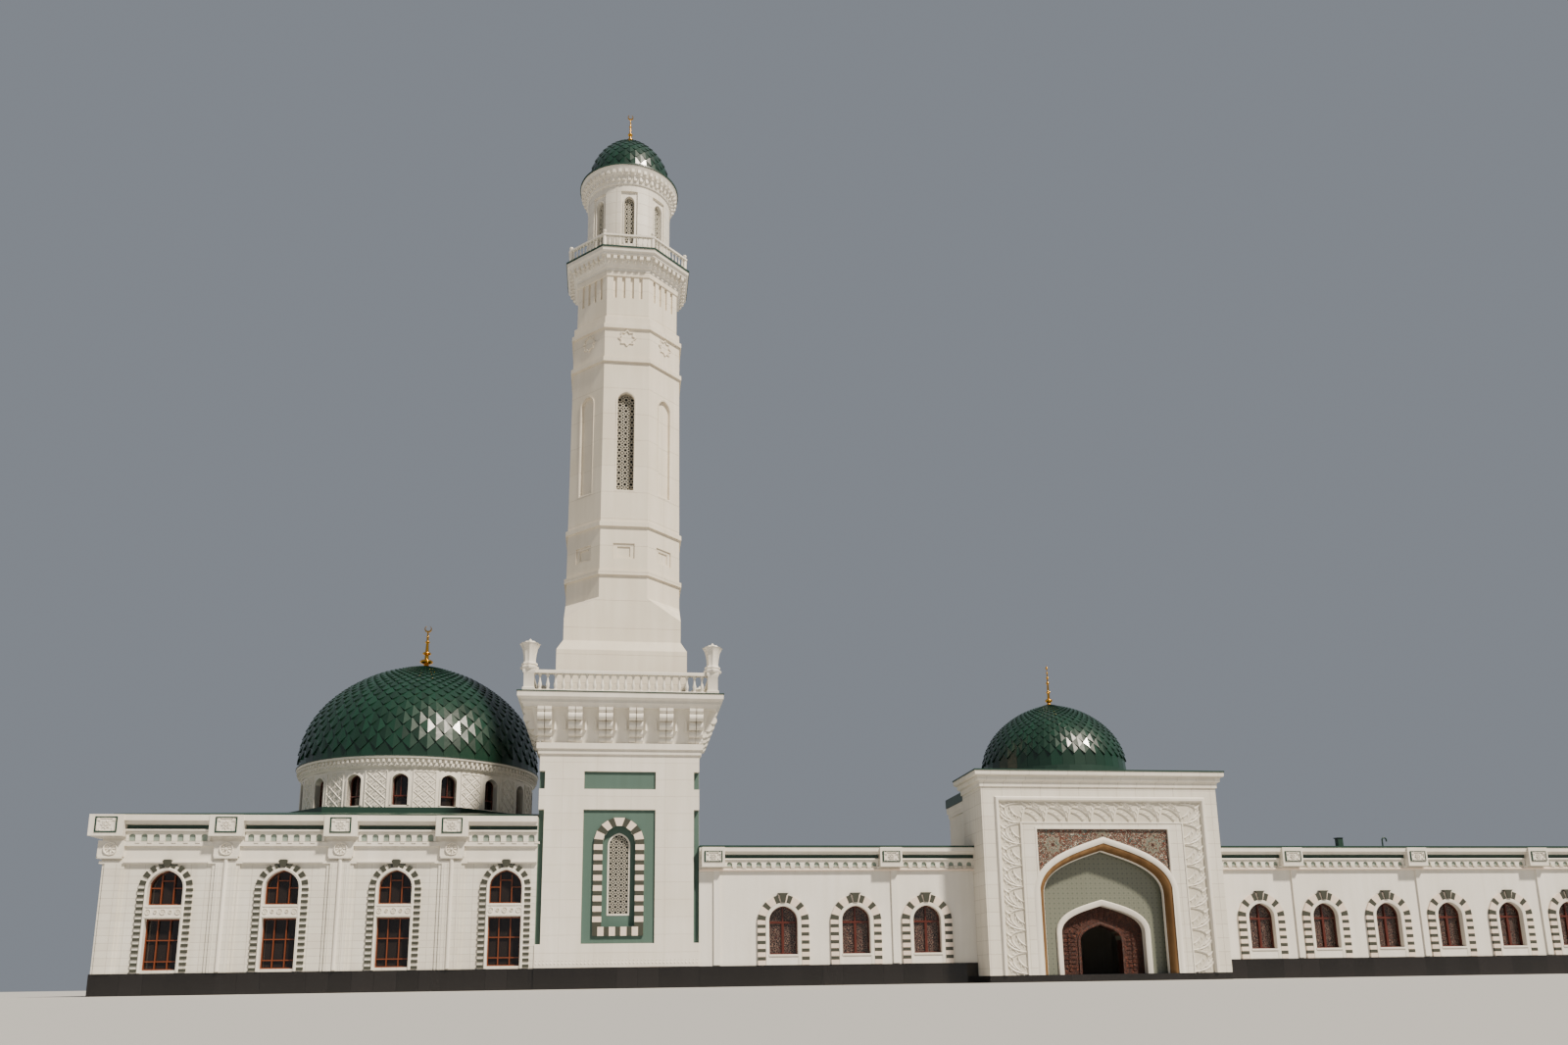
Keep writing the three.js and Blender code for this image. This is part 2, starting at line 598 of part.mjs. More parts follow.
function makeTowerCornice() {
  const group = new THREE.Group();
  const foot = tower.baseTop + GAP;
  const { half, tableHalf, tableTop, corniceHalf, corniceTop } = tower;
  const clear = 2.55 * M;
  const mould = join([squareBlock(half + 0.08 * M, foot, foot + 0.2 * M),
    squareBlock(half + 0.16 * M, foot + 0.2 * M, foot + 0.5 * M)]);
  const flare = hull([
    ...rectanglePoints(-half, half, -half, half, foot + 0.4 * M),
    ...rectanglePoints(-tableHalf + 0.28 * M, tableHalf - 0.28 * M, -tableHalf + 0.28 * M,
      tableHalf - 0.28 * M, tableTop),
  ]);
  const bracket = bracketShape(tableHalf + 0.16 * M - half, foot + 0.5 * M, tableTop);
  const widths = 0.44 * M;
  const brackets = [0, 1, 2, 3].flatMap((side) => Array.from({ length: tower.corbelsPerSide }, (_, i) => {
    const along = (i - (tower.corbelsPerSide - 1) / 2) * tower.corbelPitch;
    const geometry = new THREE.ExtrudeGeometry(bracket,
      { depth: widths, bevelEnabled: false, curveSegments: 3 });
    geometry.rotateX(Math.PI / 2).rotateZ(-Math.PI / 2).translate(along + widths / 2, -half + 0.02 * M, 0);
    return solid(geometry.rotateZ((side * Math.PI) / 2));
  }));
  const slab = join([
    squareBlock(tableHalf + 0.12 * M, tableTop - 1, tableTop + 0.18 * M),
    squareBlock(corniceHalf - 0.1 * M, tableTop + 0.18 * M, tableTop + 0.36 * M),
    squareBlock(corniceHalf, tableTop + 0.36 * M, corniceTop),
  ]);
  const body = cut(join([mould, flare, ...brackets, slab]), [squareBlock(clear, foot - 1, corniceTop + 1)]);
  group.add(mesh('tower_cornice', body, marble));
  group.add(mesh('tower_balustrade', towerBalustrade(), marble));
  return group;
}

function towerBalustrade() {
  const foot = tower.corniceTop + GAP;
  const line = tower.railLine;
  const thin = 0.12 * M;
  const rail = (z0, z1, grow) => cut(squareBlock(line + thin + grow, z0, z1),
    [squareBlock(line - thin - grow, z0 - 1, z1 + 1)]);
  const post = 0.22 * M;
  const corners = [-1, 1].flatMap((x) => [-1, 1].map((y) => [x * line, y * line]));
  const posts = corners.map(([x, y]) => box(x - post, x + post, y - post, y + post, foot, tower.railTop));
  const vases = corners.map(([x, y]) => vase(tower.railTop - 1, tower.vaseTop, x, y));
  const bar = 0.07 * M;
  const bars = evenly(-line + post, line - post,
    tower.balustersPerSide).flatMap((along) => [-1, 1].flatMap((side) => [
    box(along - bar, along + bar, side * line - bar, side * line + bar, foot + 1, tower.railTop - 1),
    box(side * line - bar, side * line + bar, along - bar, along + bar, foot + 1, tower.railTop - 1),
  ]));
  return join([rail(foot, foot + 0.12 * M, 0.02 * M),
    rail(tower.railTop - 0.14 * M, tower.railTop, 0.03 * M),
    ...posts, ...vases, ...bars]);
}

// A tulip vase: a round foot, a waist and a flared mouth.
function vase(bottom, top, x, y) {
  const height = top - bottom;
  const at = (radius, share) => new THREE.Vector2(radius * M, bottom + share * height);
  const profile = [at(0, 0), at(0.3, 0), at(0.32, 0.08), at(0.2, 0.16), at(0.16, 0.3), at(0.24, 0.6),
    at(0.36, 0.9),
    at(0.38, 1), at(0, 1)];
  return solid(new THREE.LatheGeometry(profile, 10).rotateX(Math.PI / 2).translate(x, y, 0));
}

function makeShaft() {
  const group = new THREE.Group();
  const bore = (apothem, z0, z1) => prism(8, apothem, z0, z1);
  const { pedestalHalf, pedestalTop, squareHalf, chamferTop, squareTop, octagonFoot, apothemLow,
    apothemMid } = shaft;
  const inner = apothemMid - shaft.wall;

  const foot = tower.corniceTop + GAP;
  const pedestal = join([
    squareBlock(pedestalHalf, foot, pedestalTop),
    hull([...rectanglePoints(-pedestalHalf, pedestalHalf, -pedestalHalf, pedestalHalf, pedestalTop - 1),
      ...rectanglePoints(-squareHalf, squareHalf, -squareHalf, squareHalf, chamferTop)]),
    squareBlock(squareHalf, chamferTop - 1, squareTop),
    hull([...rectanglePoints(-squareHalf, squareHalf, -squareHalf, squareHalf, squareTop),
      ...octagonPoints(apothemLow, octagonFoot)]),
  ]);
  group.add(mesh('tower_pedestal', cut(pedestal, [bore(inner, foot - 1, octagonFoot + 1)]), plaster));

  const low = octagonFoot + GAP;
  const high = shaft.midTop;
  const apothemAt = (z) => apothemLow + ((apothemMid - apothemLow) * (z - low)) / (high - low);
  const rings = shaft.ringHeights.map((z) => prism(8, apothemAt(z) + shaft.ringProud,
    z - shaft.ringHeight / 2, z + shaft.ringHeight / 2));
  const turns = Array.from({ length: 8 }, (_, i) => (i * Math.PI) / 4);
  const squares = turns.map((turn) => turnedPlate(
    rectangle(-shaft.square.halfWidth, shaft.square.halfWidth, shaft.square.bottom, shaft.square.top),
    -apothemLow - 1, -apothemLow + shaft.square.depth, turn));
  const archOutline = archShape(0, shaft.arch.half, shaft.arch.bottom, shaft.arch.spring, shaft.arch.rise);
  const blind = turns.map((turn) => turnedPlate(archOutline, -apothemLow - 1,
    -apothemAt(shaft.arch.bottom) + shaft.arch.depth, turn, 4));
  const through = turnedPlate(archOutline, -apothemLow - 1, -inner + 1, 0, 4);
  const tube = cut(join([prism(8, apothemLow, low, high, apothemMid), ...rings]),
    [bore(inner, low - 1, high + 1), ...squares, ...blind, through]);
  group.add(mesh('tower_shaft', tube, plaster));
  const sheet = box(-shaft.arch.half - 0.05 * M, shaft.arch.half + 0.05 * M, -inner + GAP,
    -inner + 0.06 * M,
    shaft.arch.bottom - 0.1 * M, shaft.arch.spring + shaft.arch.rise + 0.1 * M);
  group.add(mesh('tower_shaft_lattice', sheet, lattice));

  const neck = shaft.midTop + GAP;
  const topInner = shaft.topApothem - shaft.wall;
  const slots = turns.flatMap((turn) => [-1.5, -0.5, 0.5, 1.5].map((i) => turnedPlate(
    rectangle(i * shaft.slot.pitch - shaft.slot.width / 2, i * shaft.slot.pitch + shaft.slot.width / 2,
      shaft.slot.bottom, shaft.slot.top),
    -shaft.topApothem - 1, -shaft.topApothem + shaft.slot.depth, turn)));
  const upper = cut(prism(8, shaft.topApothem, neck, shaft.topTop),
    [bore(topInner, neck - 1, shaft.topTop + 1), ...slots]);
  group.add(mesh('tower_upper_shaft', upper, plaster));
  return group;
}

function makeBalcony() {
  const group = new THREE.Group();
  const steps = join(balcony.steps.map(([apothem, z0, z1], i) => prism(8, apothem, i ? z0 - 1 : z0 + GAP,
    z1)));
  const floor = cut(steps, [prism(16, balcony.hole, balcony.steps[0][1] - 1, balcony.steps[3][2] + 1)]);
  group.add(mesh('balcony_floor', floor, marble));

  const foot = balcony.steps[3][2] + GAP;
  const { railApothem, railTop } = balcony;
  const thin = 0.06 * M;
  const rail = (z0, z1) => cut(prism(8, railApothem + thin, z0, z1),
    [prism(8, railApothem - thin, z0 - 1, z1 + 1)]);
  const corner = railApothem / Math.cos(Math.PI / 8);
  const posts = Array.from({ length: 8 }, (_, i) => {
    const angle = Math.PI / 8 + (i * Math.PI) / 4;
    const post = turned([[0, foot], [0.1 * M, foot], [0.1 * M, railTop + 0.05 * M],
      [0.05 * M, railTop + 0.08 * M],
      [0.1 * M, railTop + 0.17 * M], [0, railTop + 0.28 * M]], 6);
    return moved(post, corner * Math.cos(angle) * 0.985, corner * Math.sin(angle) * 0.985);
  });
  const faceHalf = railApothem * Math.tan(Math.PI / 8) - 0.12 * M;
  const bar = 0.035 * M;
  const bars = Array.from({ length: 8 }, (_, i) => (i * Math.PI) / 4).flatMap((turn) =>
    evenly(-faceHalf, faceHalf, balcony.balustersPerFace).map((along) => turnedPlate(
      rectangle(along - bar, along + bar, foot + 1, railTop - 1), -railApothem - bar, -railApothem + bar,
        turn)));
  group.add(mesh('balcony_balustrade',
    join([rail(foot, foot + 0.08 * M), rail(railTop - 0.09 * M, railTop), ...posts, ...bars]), marble));
  return group;
}

// A copy of a solid set at another place on the plan.
function moved(body, x, y) {
  const data = body.getMesh();
  const geometry = new THREE.BufferGeometry();
  geometry.setAttribute('position', new THREE.BufferAttribute(new Float32Array(data.vertProperties), 3));
  geometry.setIndex(new THREE.BufferAttribute(new Uint32Array(data.triVerts), 1));
  return solid(geometry.translate(x, y, 0));
}

function makeLantern() {
  const group = new THREE.Group();
  const foot = balcony.steps[3][2] + GAP;
  const { radius, wall, top, corniceTop, corniceRadius } = lantern;
  const inside = radius - wall;
  const drum = turned([[inside, foot], [radius, foot], [radius, top], [radius + 0.12 * M, top + 0.02 * M],
    [radius + 0.12 * M, top + 0.25 * M], [radius + 0.26 * M, top + 0.3 * M],
      [radius + 0.26 * M, top + 0.5 * M],
    [corniceRadius, top + 0.6 * M], [corniceRadius, corniceTop], [inside, corniceTop], [inside, foot]], 24);
  const turns = Array.from({ length: lantern.openings }, (_, i) => (i * 2 * Math.PI) / lantern.openings);
  const face = radius * Math.cos(Math.PI / 24);
  const panels = turns.map((turn) => turnedPlate(
    rectangle(-lantern.frame.half, lantern.frame.half, lantern.frame.bottom, lantern.frame.top),
    -radius - 1, -face + lantern.frame.depth, turn));
  const outline = archShape(0, lantern.opening.half, lantern.opening.bottom, lantern.opening.spring,
    lantern.opening.rise);
  const holes = turns.map((turn) => turnedPlate(outline, -radius - 1, -inside + 0.2 * M, turn, 2));
  group.add(mesh('lantern_drum', cut(drum, [...panels, ...holes]), marble));

  const sheet = turned([[inside - GLASS, 36.5 * M], [inside - 1, 36.5 * M], [inside - 1, 39.8 * M],
    [inside - GLASS, 39.8 * M], [inside - GLASS, 36.5 * M]], 24);
  group.add(mesh('lantern_lattice', sheet, lattice));
  group.add(mesh('lantern_dome',
    domeShell(lantern.domeRadius, corniceTop + GAP, lantern.domeTop, 0.2 * M, 24), greenTile));
  const finial = finialSolid(lantern.domeTop - 0.1 * M, lantern.finialTop, 0.17 * M);
  group.add(mesh('lantern_finial',
    cut(finial, [domeCore(lantern.domeRadius, corniceTop, lantern.domeTop)]), gold));
  return group;
}

// The ring of mouldings and blocks on top of a wing's walls, drawn past the ends that are cut off.
function wingEntablature(left, right, back, blocks) {
  const blockAt = (x, y) => box(x - wing.blockHalf, x + wing.blockHalf, y - wing.blockProud,
    y + wing.blockProud,
    wing.blockBottom, wing.corniceTop);
  const room = box(left + RING_WALL, right - RING_WALL, FRONT + RING_WALL, back - RING_WALL, 0,
    wing.corniceTop + M);
  const ring = ringLayers(wingLayers, left, right, FRONT, back, RING_WALL);
  return cut(join([ring, ...blocks.flatMap((x) => [blockAt(x, FRONT), blockAt(x, back)])]), [room]);
}

// A low hipped roof with a hollow underside.
function wingRoof(left, right, back) {
  const eave = wing.corniceTop + GAP;
  const inset = 0.1 * M;
  const rest = wing.roofRest;
  const ridge = [left + wing.roofHip,
    right - wing.roofHip].map((x) => [x, (FRONT + back) / 2, wing.roofTop]);
  const rim = (z) => rectanglePoints(left + inset, right - inset, FRONT + inset, back - inset, z);
  const cover = hull([...rim(eave), ...rim(eave + wing.roofThick), ...ridge]);
  const under = hull([
    ...rectanglePoints(left + rest, right - rest, FRONT + rest, back - rest, eave - 1),
    ...ridge.map(([x, y, z]) => [x, y, z - wing.roofHollow]),
  ]);
  return cut(cover, [under]);
}

// The parts that both wings share, between x0 and x1. A free end has its own wall and overhangs.
function makeWing(name, { x0, x1, freeEnd, windows, blocks, frontBays }) {
  const group = new THREE.Group();
  const back = FRONT + wing.depth;
  const left = x0 - wing.runOn;
  const right = freeEnd ? x1 : x1 + wing.runOn;
  const outside = (from, to) => box(from, to, FRONT - wing.runOn, back + wing.runOn, -1, wing.roofTop + M);
  const spaces = [towerSpace(), portalSpace(), entranceSpace(), outside(left - M, x0)];
  if (!freeEnd) spaces.push(outside(x1, right + M));

  const tray = join([
    box(x0, x1, FRONT, back, 0, FLOOR),
    cut(
      box(left - PLINTH_PROUD, right + PLINTH_PROUD, FRONT - PLINTH_PROUD, back + PLINTH_PROUD, 0, PLINTH),
      [box(left + RING_WALL, right - RING_WALL, FRONT + RING_WALL, back - RING_WALL, -1, PLINTH + 1)]),
  ]);
  group.add(mesh(`${name}_base`, cut(tray, spaces), granite));

  for (const bay of frontBays) {
    group.add(mesh(`${name}_${bay.name}`, wingWall(bay.from, bay.to, bay.windows), marble, [0, FRONT, 0]));
  }
  const rear = wingWall(-x1, -x0, windows.map((x) => -x));
  group.add(mesh(`${name}_back_wall`, rear, marble, [0, back, 0], Math.PI));

  const frontEnd = frontBays[frontBays.length - 1].to;
  const tieBeam = box(frontEnd - RING_WALL, frontEnd, FRONT + 1, back - 1, wing.wallTop, wing.corniceTop);
  const ring = wingEntablature(left, right, back, blocks);
  group.add(mesh(`${name}_entablature`, cut(freeEnd ? ring : ring.add(tieBeam), spaces), marble));
  group.add(mesh(`${name}_roof`, cut(wingRoof(left, right, back), spaces), greenSheet));

  const sheet = WALL + GAP;
  const glassTo = freeEnd ? x1 - sheet : x1;
  const roomTo = freeEnd ? glassTo - GLASS : x1 + 1;
  const panes = cut(box(x0, glassTo, FRONT + sheet, back - sheet, PLINTH + GAP, wing.wallTop - GAP), [
    box(x0 - 1, roomTo, FRONT + sheet + GLASS, back - sheet - GLASS, 0, wing.corniceTop),
    ...spaces,
  ]);
  return { group, panes };
}

function makeMiddleWing() {
  const x0 = tower.half + GAP;
  const frontTo = portal.centre - portal.half - GAP;
  const frontBays = middleWindows.map((x, i) => ({
    name: `bay_${i + 1}`,
    from: i ? middleBayJoints[i - 1] + GAP / 2 : x0,
    to: i < middleBayJoints.length ? middleBayJoints[i] - GAP / 2 : frontTo,
    windows: [x],
  }));
  const { group, panes } = makeWing('middle_wing', {
    x0, x1: portal.centre - portal.hallHalf - GAP, freeEnd: false, windows: middleWindows,
      blocks: middleBlocks,
    frontBays,
  });
  panes.decompose().forEach((sheet, i) =>
    group.add(mesh(i ? 'middle_wing_back_glazing' : 'middle_wing_front_glazing', sheet, glass)));
  return group;
}

function makeRightWing() {
  const from = portal.centre + portal.half + GAP;
  const { group, panes } = makeWing('right_wing', {
    x0: portal.centre + portal.hallHalf + GAP, x1: rightEnd, freeEnd: true, windows: rightWindows,
    blocks: rightBlocks, frontBays: [{ name: 'front_wall', from, to: rightEnd, windows: rightWindows }],
  });
  const back = FRONT + wing.depth;
  const end = wingWall(FRONT + WALL + GAP, back - WALL - GAP, [(FRONT + back) / 2]);
  group.add(mesh('right_wing_end_wall', end, marble, [rightEnd, 0, 0], Math.PI / 2));
  group.add(mesh('right_wing_glazing', panes, glass));
  return group;
}

function makePortal() {
  const group = new THREE.Group();
  const { half, front, back, top, arch, inner, door } = portal;
  const place = [portal.centre, 0, 0];
  const stand = FLOOR + GAP;

  const floor = join([
    box(-half, half, front, back, 0, FLOOR),
    box(-portal.hallHalf, portal.hallHalf, back - 1, portal.hallBack, 0, FLOOR),
  ]);
  group.add(mesh('portal_floor', floor, granite, place));

  const leafOut = half - portal.frameWidth;
  const leafIn = leafOut - portal.leafWidth;
  const leafBand = cut(box(-leafOut, leafOut, front - 1, front + portal.leafDepth, stand - 1,
    portal.leafTop),
    [box(-leafIn, leafIn, front - 2, front + 1 * M, stand - 2, portal.leafTop - portal.leafWidth)]);
  const field = box(-portal.fieldHalf, portal.fieldHalf, front - 1, front + portal.fieldDepth, stand - 1,
    portal.fieldTop);
  const mouth = plate(archShape(0, arch.half, stand - 1, arch.spring, arch.rise, ARCH_POINT), front - 1,
    back + 1, 8);
  const screen = cut(box(-half, half, front, back, stand, top), [leafBand, field, mouth]);
  group.add(mesh('portal_screen', screen, marble, place));

  const trimOut = archShape(0, arch.half + portal.trimWidth, stand, arch.spring,
    arch.rise + portal.trimWidth * 1.25, ARCH_POINT);
  const trimFace = front + portal.fieldDepth - GAP;
  const trim = cut(plate(trimOut, trimFace - portal.trimProud, trimFace, 8),
    [plate(archShape(0, arch.half, stand - 1, arch.spring, arch.rise, ARCH_POINT), front - M, back, 8)]);
  group.add(mesh('portal_arch_trim', trim, gold, place));

  const wallFront = front + portal.nicheDepth;
  const fitted = archShape(0, arch.half - GAP, stand, arch.spring - GAP, arch.rise, ARCH_POINT);
  const doorWall = cut(plate(fitted, wallFront, wallFront + portal.doorWall, 8), [
    plate(archShape(0, inner.half, stand - 1, inner.spring, inner.rise, ARCH_POINT), wallFront - 1,
      wallFront + inner.depth, 6),
    plate(archShape(0, door.half, stand - 1, door.spring, door.rise, ARCH_POINT), wallFront - 1,
      wallFront + M, 4),
  ]);
  group.add(mesh('portal_door_wall', doorWall, paleTile, place));

  const cornice = join([
    box(-half - 0.06 * M, half + 0.06 * M, front - 0.06 * M, back, top + GAP, top + 0.25 * M),
    box(-half - 0.18 * M, half + 0.18 * M, front - 0.18 * M, back, top + 0.25 * M - 1, top + 0.45 * M),
    box(-half - portal.corniceProud, half + portal.corniceProud, front - portal.corniceProud, back,
      top + 0.45 * M - 1, portal.corniceTop),
  ]);
  group.add(mesh('portal_cornice', cornice, marble, place));

  const hallHalf = portal.hallHalf;
  const walls = cut(box(-hallHalf, hallHalf, back + GAP, portal.hallBack, stand, portal.wallTop), [
    box(-hallHalf + portal.wall, hallHalf - portal.wall, back - 1, portal.hallBack - portal.wall,
      stand - 1, portal.wallTop + 1),
    box(-hallHalf - 1, hallHalf + 1, FRONT + 1.3 * M, FRONT + wing.depth - 1 * M, stand - 1, 4 * M),
  ]);
  group.add(mesh('entrance_walls', walls, marble, place));

  const roofFoot = portal.wallTop + GAP;
  const roofSlab = join([
    box(-hallHalf - 0.15 * M, hallHalf + 0.15 * M, back + GAP, portal.hallBack + 0.15 * M, roofFoot,
      portal.corniceTop + 0.05 * M),
    box(-half, half, front + 0.3 * M, back + 1 * M, portal.corniceTop + GAP, portal.corniceTop + 0.12 * M),
  ]);
  const drumRing = turned([[0, portal.corniceTop - 0.1 * M],
    [portal.domeRadius + 0.1 * M, portal.corniceTop - 0.1 * M],
    [portal.domeRadius + 0.1 * M, portal.drumTop], [0, portal.drumTop]], 40);
  const ringPlaced = moved(cut(drumRing, [squareBlock(8 * M, 0, portal.corniceTop + GAP)]), 0,
    portal.domeY);
  const shaftWell = moved(turned([[0, 8 * M], [portal.domeRadius - 0.35 * M, 8 * M],
    [portal.domeRadius - 0.35 * M, 11 * M], [0, 11 * M]], 40),
    0, portal.domeY);
  const wellAbove = cut(shaftWell, [box(-6 * M, 6 * M, -6 * M, back + GAP, 0, portal.corniceTop + GAP)]);
  group.add(mesh('portal_roof', cut(join([roofSlab, ringPlaced]), [wellAbove]), greenSheet, place));

  const domePlace = [portal.centre, portal.domeY, 0];
  group.add(mesh('portal_dome',
    domeShell(portal.domeRadius, portal.drumTop + GAP, portal.domeTop, 0.25 * M, 28), greenTile,
    domePlace));
  const finial = finialSolid(portal.domeTop - 0.1 * M, portal.finialTop, 0.19 * M);
  group.add(mesh('portal_finial',
    cut(finial, [domeCore(portal.domeRadius, portal.drumTop, portal.domeTop)]), gold, domePlace));
  return group;
}

const mosque = new THREE.Group();
mosque.add(makeHall(), makeTowerBase(), makeTowerCornice(), makeShaft(), makeBalcony(), makeLantern(),
  makeMiddleWing(), makeRightWing(), makePortal());

export default mosque;
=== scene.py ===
"""Looks of a mosque with a minaret, a domed hall, two low wings and a portal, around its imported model.

Sizes are in metres of the real building. The model is at 1:2, and MODEL_SCALE is applied once, where a
mesh is placed. X runs right along the street, Y to the back and Z up, from the ground under the minaret.
"""
import logging
import math
from dataclasses import dataclass
from enum import Enum
from typing import Callable, Iterable, Optional, Sequence

import bpy
from mathutils import Matrix, Vector
from mathutils.geometry import tessellate_polygon


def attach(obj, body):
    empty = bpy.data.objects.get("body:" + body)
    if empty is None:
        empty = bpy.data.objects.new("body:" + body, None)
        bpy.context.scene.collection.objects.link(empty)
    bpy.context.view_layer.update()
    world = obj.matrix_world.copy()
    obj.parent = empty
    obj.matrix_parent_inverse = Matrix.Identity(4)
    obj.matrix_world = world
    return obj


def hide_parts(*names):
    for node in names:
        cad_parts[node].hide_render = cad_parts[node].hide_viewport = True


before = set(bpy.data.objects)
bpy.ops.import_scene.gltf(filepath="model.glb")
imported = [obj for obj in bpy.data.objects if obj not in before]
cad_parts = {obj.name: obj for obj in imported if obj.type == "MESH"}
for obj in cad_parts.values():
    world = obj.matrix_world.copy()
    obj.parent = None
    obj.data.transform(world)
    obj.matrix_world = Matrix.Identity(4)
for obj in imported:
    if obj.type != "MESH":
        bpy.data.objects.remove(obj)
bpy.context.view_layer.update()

log = logging.getLogger("mosque")

MODEL_SCALE = 0.5
MM = 0.001 * MODEL_SCALE
FRONT = -3.45
Point = tuple[float, float]
Spot = tuple[float, float, float]
Place = Callable[[float, float, float], Spot]
Tree = bpy.types.NodeTree
Socket = bpy.types.NodeSocket


# Finishes.


def linear(hex_colour: str) -> tuple[float, float, float, float]:
    """Turns an sRGB hex colour into the linear colour that shaders take.

    Args:
        hex_colour: Six hex digits, such as "D8D2C6".

    Returns:
        Red, green, blue and an alpha of one.
    """
    parts = [int(hex_colour[i:i + 2], 16) / 255 for i in (0, 2, 4)]
    red, green, blue = [c / 12.92 if c <= 0.04045 else ((c + 0.055) / 1.055) ** 2.4 for c in parts]
    return red, green, blue, 1.0


def add_node(tree: Tree, kind: str, inputs: Optional[dict] = None, **settings) -> bpy.types.Node:
    """Adds one shader node with its settings, input values and links.

    Args:
        tree: The material's node tree.
        kind: Node type without its "ShaderNode" prefix.
        inputs: Input name or number to a value, or to an output socket that is linked to it.
        settings: Properties of the node itself.

    Returns:
        The new node.
    """
    node = tree.nodes.new("ShaderNode" + kind)
    for key, value in settings.items():
        setattr(node, key, value)
    for key, value in (inputs or {}).items():
        socket = node.inputs[key]
        if isinstance(value, Socket):
            tree.links.new(value, socket)
        else:
            socket.default_value = value
    return node


@dataclass(frozen=True)
class Finish:
    """One real material with an even colour and a fine surface grain."""

    name: str
    colour: str
    roughness: float
    metallic: float = 0.0
    ior: float = 1.5
    coat: float = 0.0
    grain_mm: float = 60.0
    grain_depth_mm: float = 1.0
    mottle: float = 0.12
    dirt: str = "B9AE9B"
    coat_roughness: float = 0.08
    cloud_mm: float = 2222.0
    streak_mm: Point = (307.7, 4396.0)

    def material(self) -> bpy.types.Material:
        """Makes the finish's material on first use.

        Returns:
            The material.
        """
        made = bpy.data.materials.get(self.name)
        if made:
            return made
        made = bpy.data.materials.new(self.name)
        made.use_nodes = True
        tree = made.node_tree
        shader = tree.nodes["Principled BSDF"]
        shader.inputs["Roughness"].default_value = self.roughness
        shader.inputs["Metallic"].default_value = self.metallic
        if not self.metallic:
            shader.inputs["IOR"].default_value = self.ior
        shader.inputs["Coat Weight"].default_value = self.coat
        shader.inputs["Coat Roughness"].default_value = self.coat_roughness
        where = add_node(tree, "TexCoord").outputs["Object"]
        colour, height = self.pattern(tree, where)
        tree.links.new(self.weathered(tree, where, colour), shader.inputs["Base Color"])
        bump = add_node(tree, "Bump", {"Height": height, "Distance": self.grain_depth_mm * MM,
                                       "Strength": 1.0})
        tree.links.new(bump.outputs["Normal"], shader.inputs["Normal"])
        return made

    def pattern(self, tree: Tree, where: Socket) -> tuple:
        """Draws the finish's own pattern.

        Args:
            tree: The material's node tree.
            where: Position in the model, in metres.

        Returns:
            The colour socket and the height socket.
        """
        even = add_node(tree, "RGB")
        even.outputs[0].default_value = linear(self.colour)
        return even.outputs[0], self.grain(tree, where, 4.0)

    def grain(self, tree: Tree, where: Socket, detail: float) -> Socket:
        """Returns the height of the fine grain, drawn with the given detail."""
        return add_node(tree, "TexNoise", {"Vector": where, "Scale": 1 / (self.grain_mm * MM),
                                           "Detail": detail}).outputs["Fac"]

    def along_and_up(self, tree: Tree, where: Socket) -> tuple[Socket, Socket]:
        """Returns the sum of X and Y, which grows along any upright wall, and the height."""
        x, y, height = add_node(tree, "SeparateXYZ", {0: where}).outputs
        return add_node(tree, "Math", {0: x, 1: y}, operation="ADD").outputs[0], height

    def weathered(self, tree: Tree, where: Socket, colour: Socket) -> Socket:
        """Darkens a colour a little in soft clouds and in rain streaks that run down the wall.

        Args:
            tree: The material's node tree.
            where: Position in the model, in metres.
            colour: Socket of the clean colour.

        Returns:
            The weathered colour's socket.
        """
        clouds = add_node(tree, "TexNoise", {"Vector": where, "Scale": 1 / (self.cloud_mm * MM),
                                             "Detail": 5.0})
        across, down = (1 / (size * MM) for size in self.streak_mm)
        stretch = add_node(tree, "Mapping", {"Vector": where, "Scale": (across, across, down)})
        streaks = add_node(tree, "TexNoise", {"Vector": stretch.outputs[0], "Scale": 1.0, "Detail": 6.0})
        both = add_node(tree, "Math", {0: clouds.outputs["Fac"], 1: streaks.outputs["Fac"]},
                        operation="MULTIPLY")
        dark = add_node(tree, "MapRange", {0: both.outputs[0], 1: 0.12, 2: 0.42, 3: self.mottle * 2, 4: 0.0})
        dirt = add_node(tree, "Mix", {0: 1.0, 6: colour, 7: linear(self.dirt)}, data_type="RGBA",
                        blend_type="MULTIPLY")
        return add_node(tree, "Mix", {0: dark.outputs[0], 6: colour, 7: dirt.outputs[2]},
                        data_type="RGBA").outputs[2]


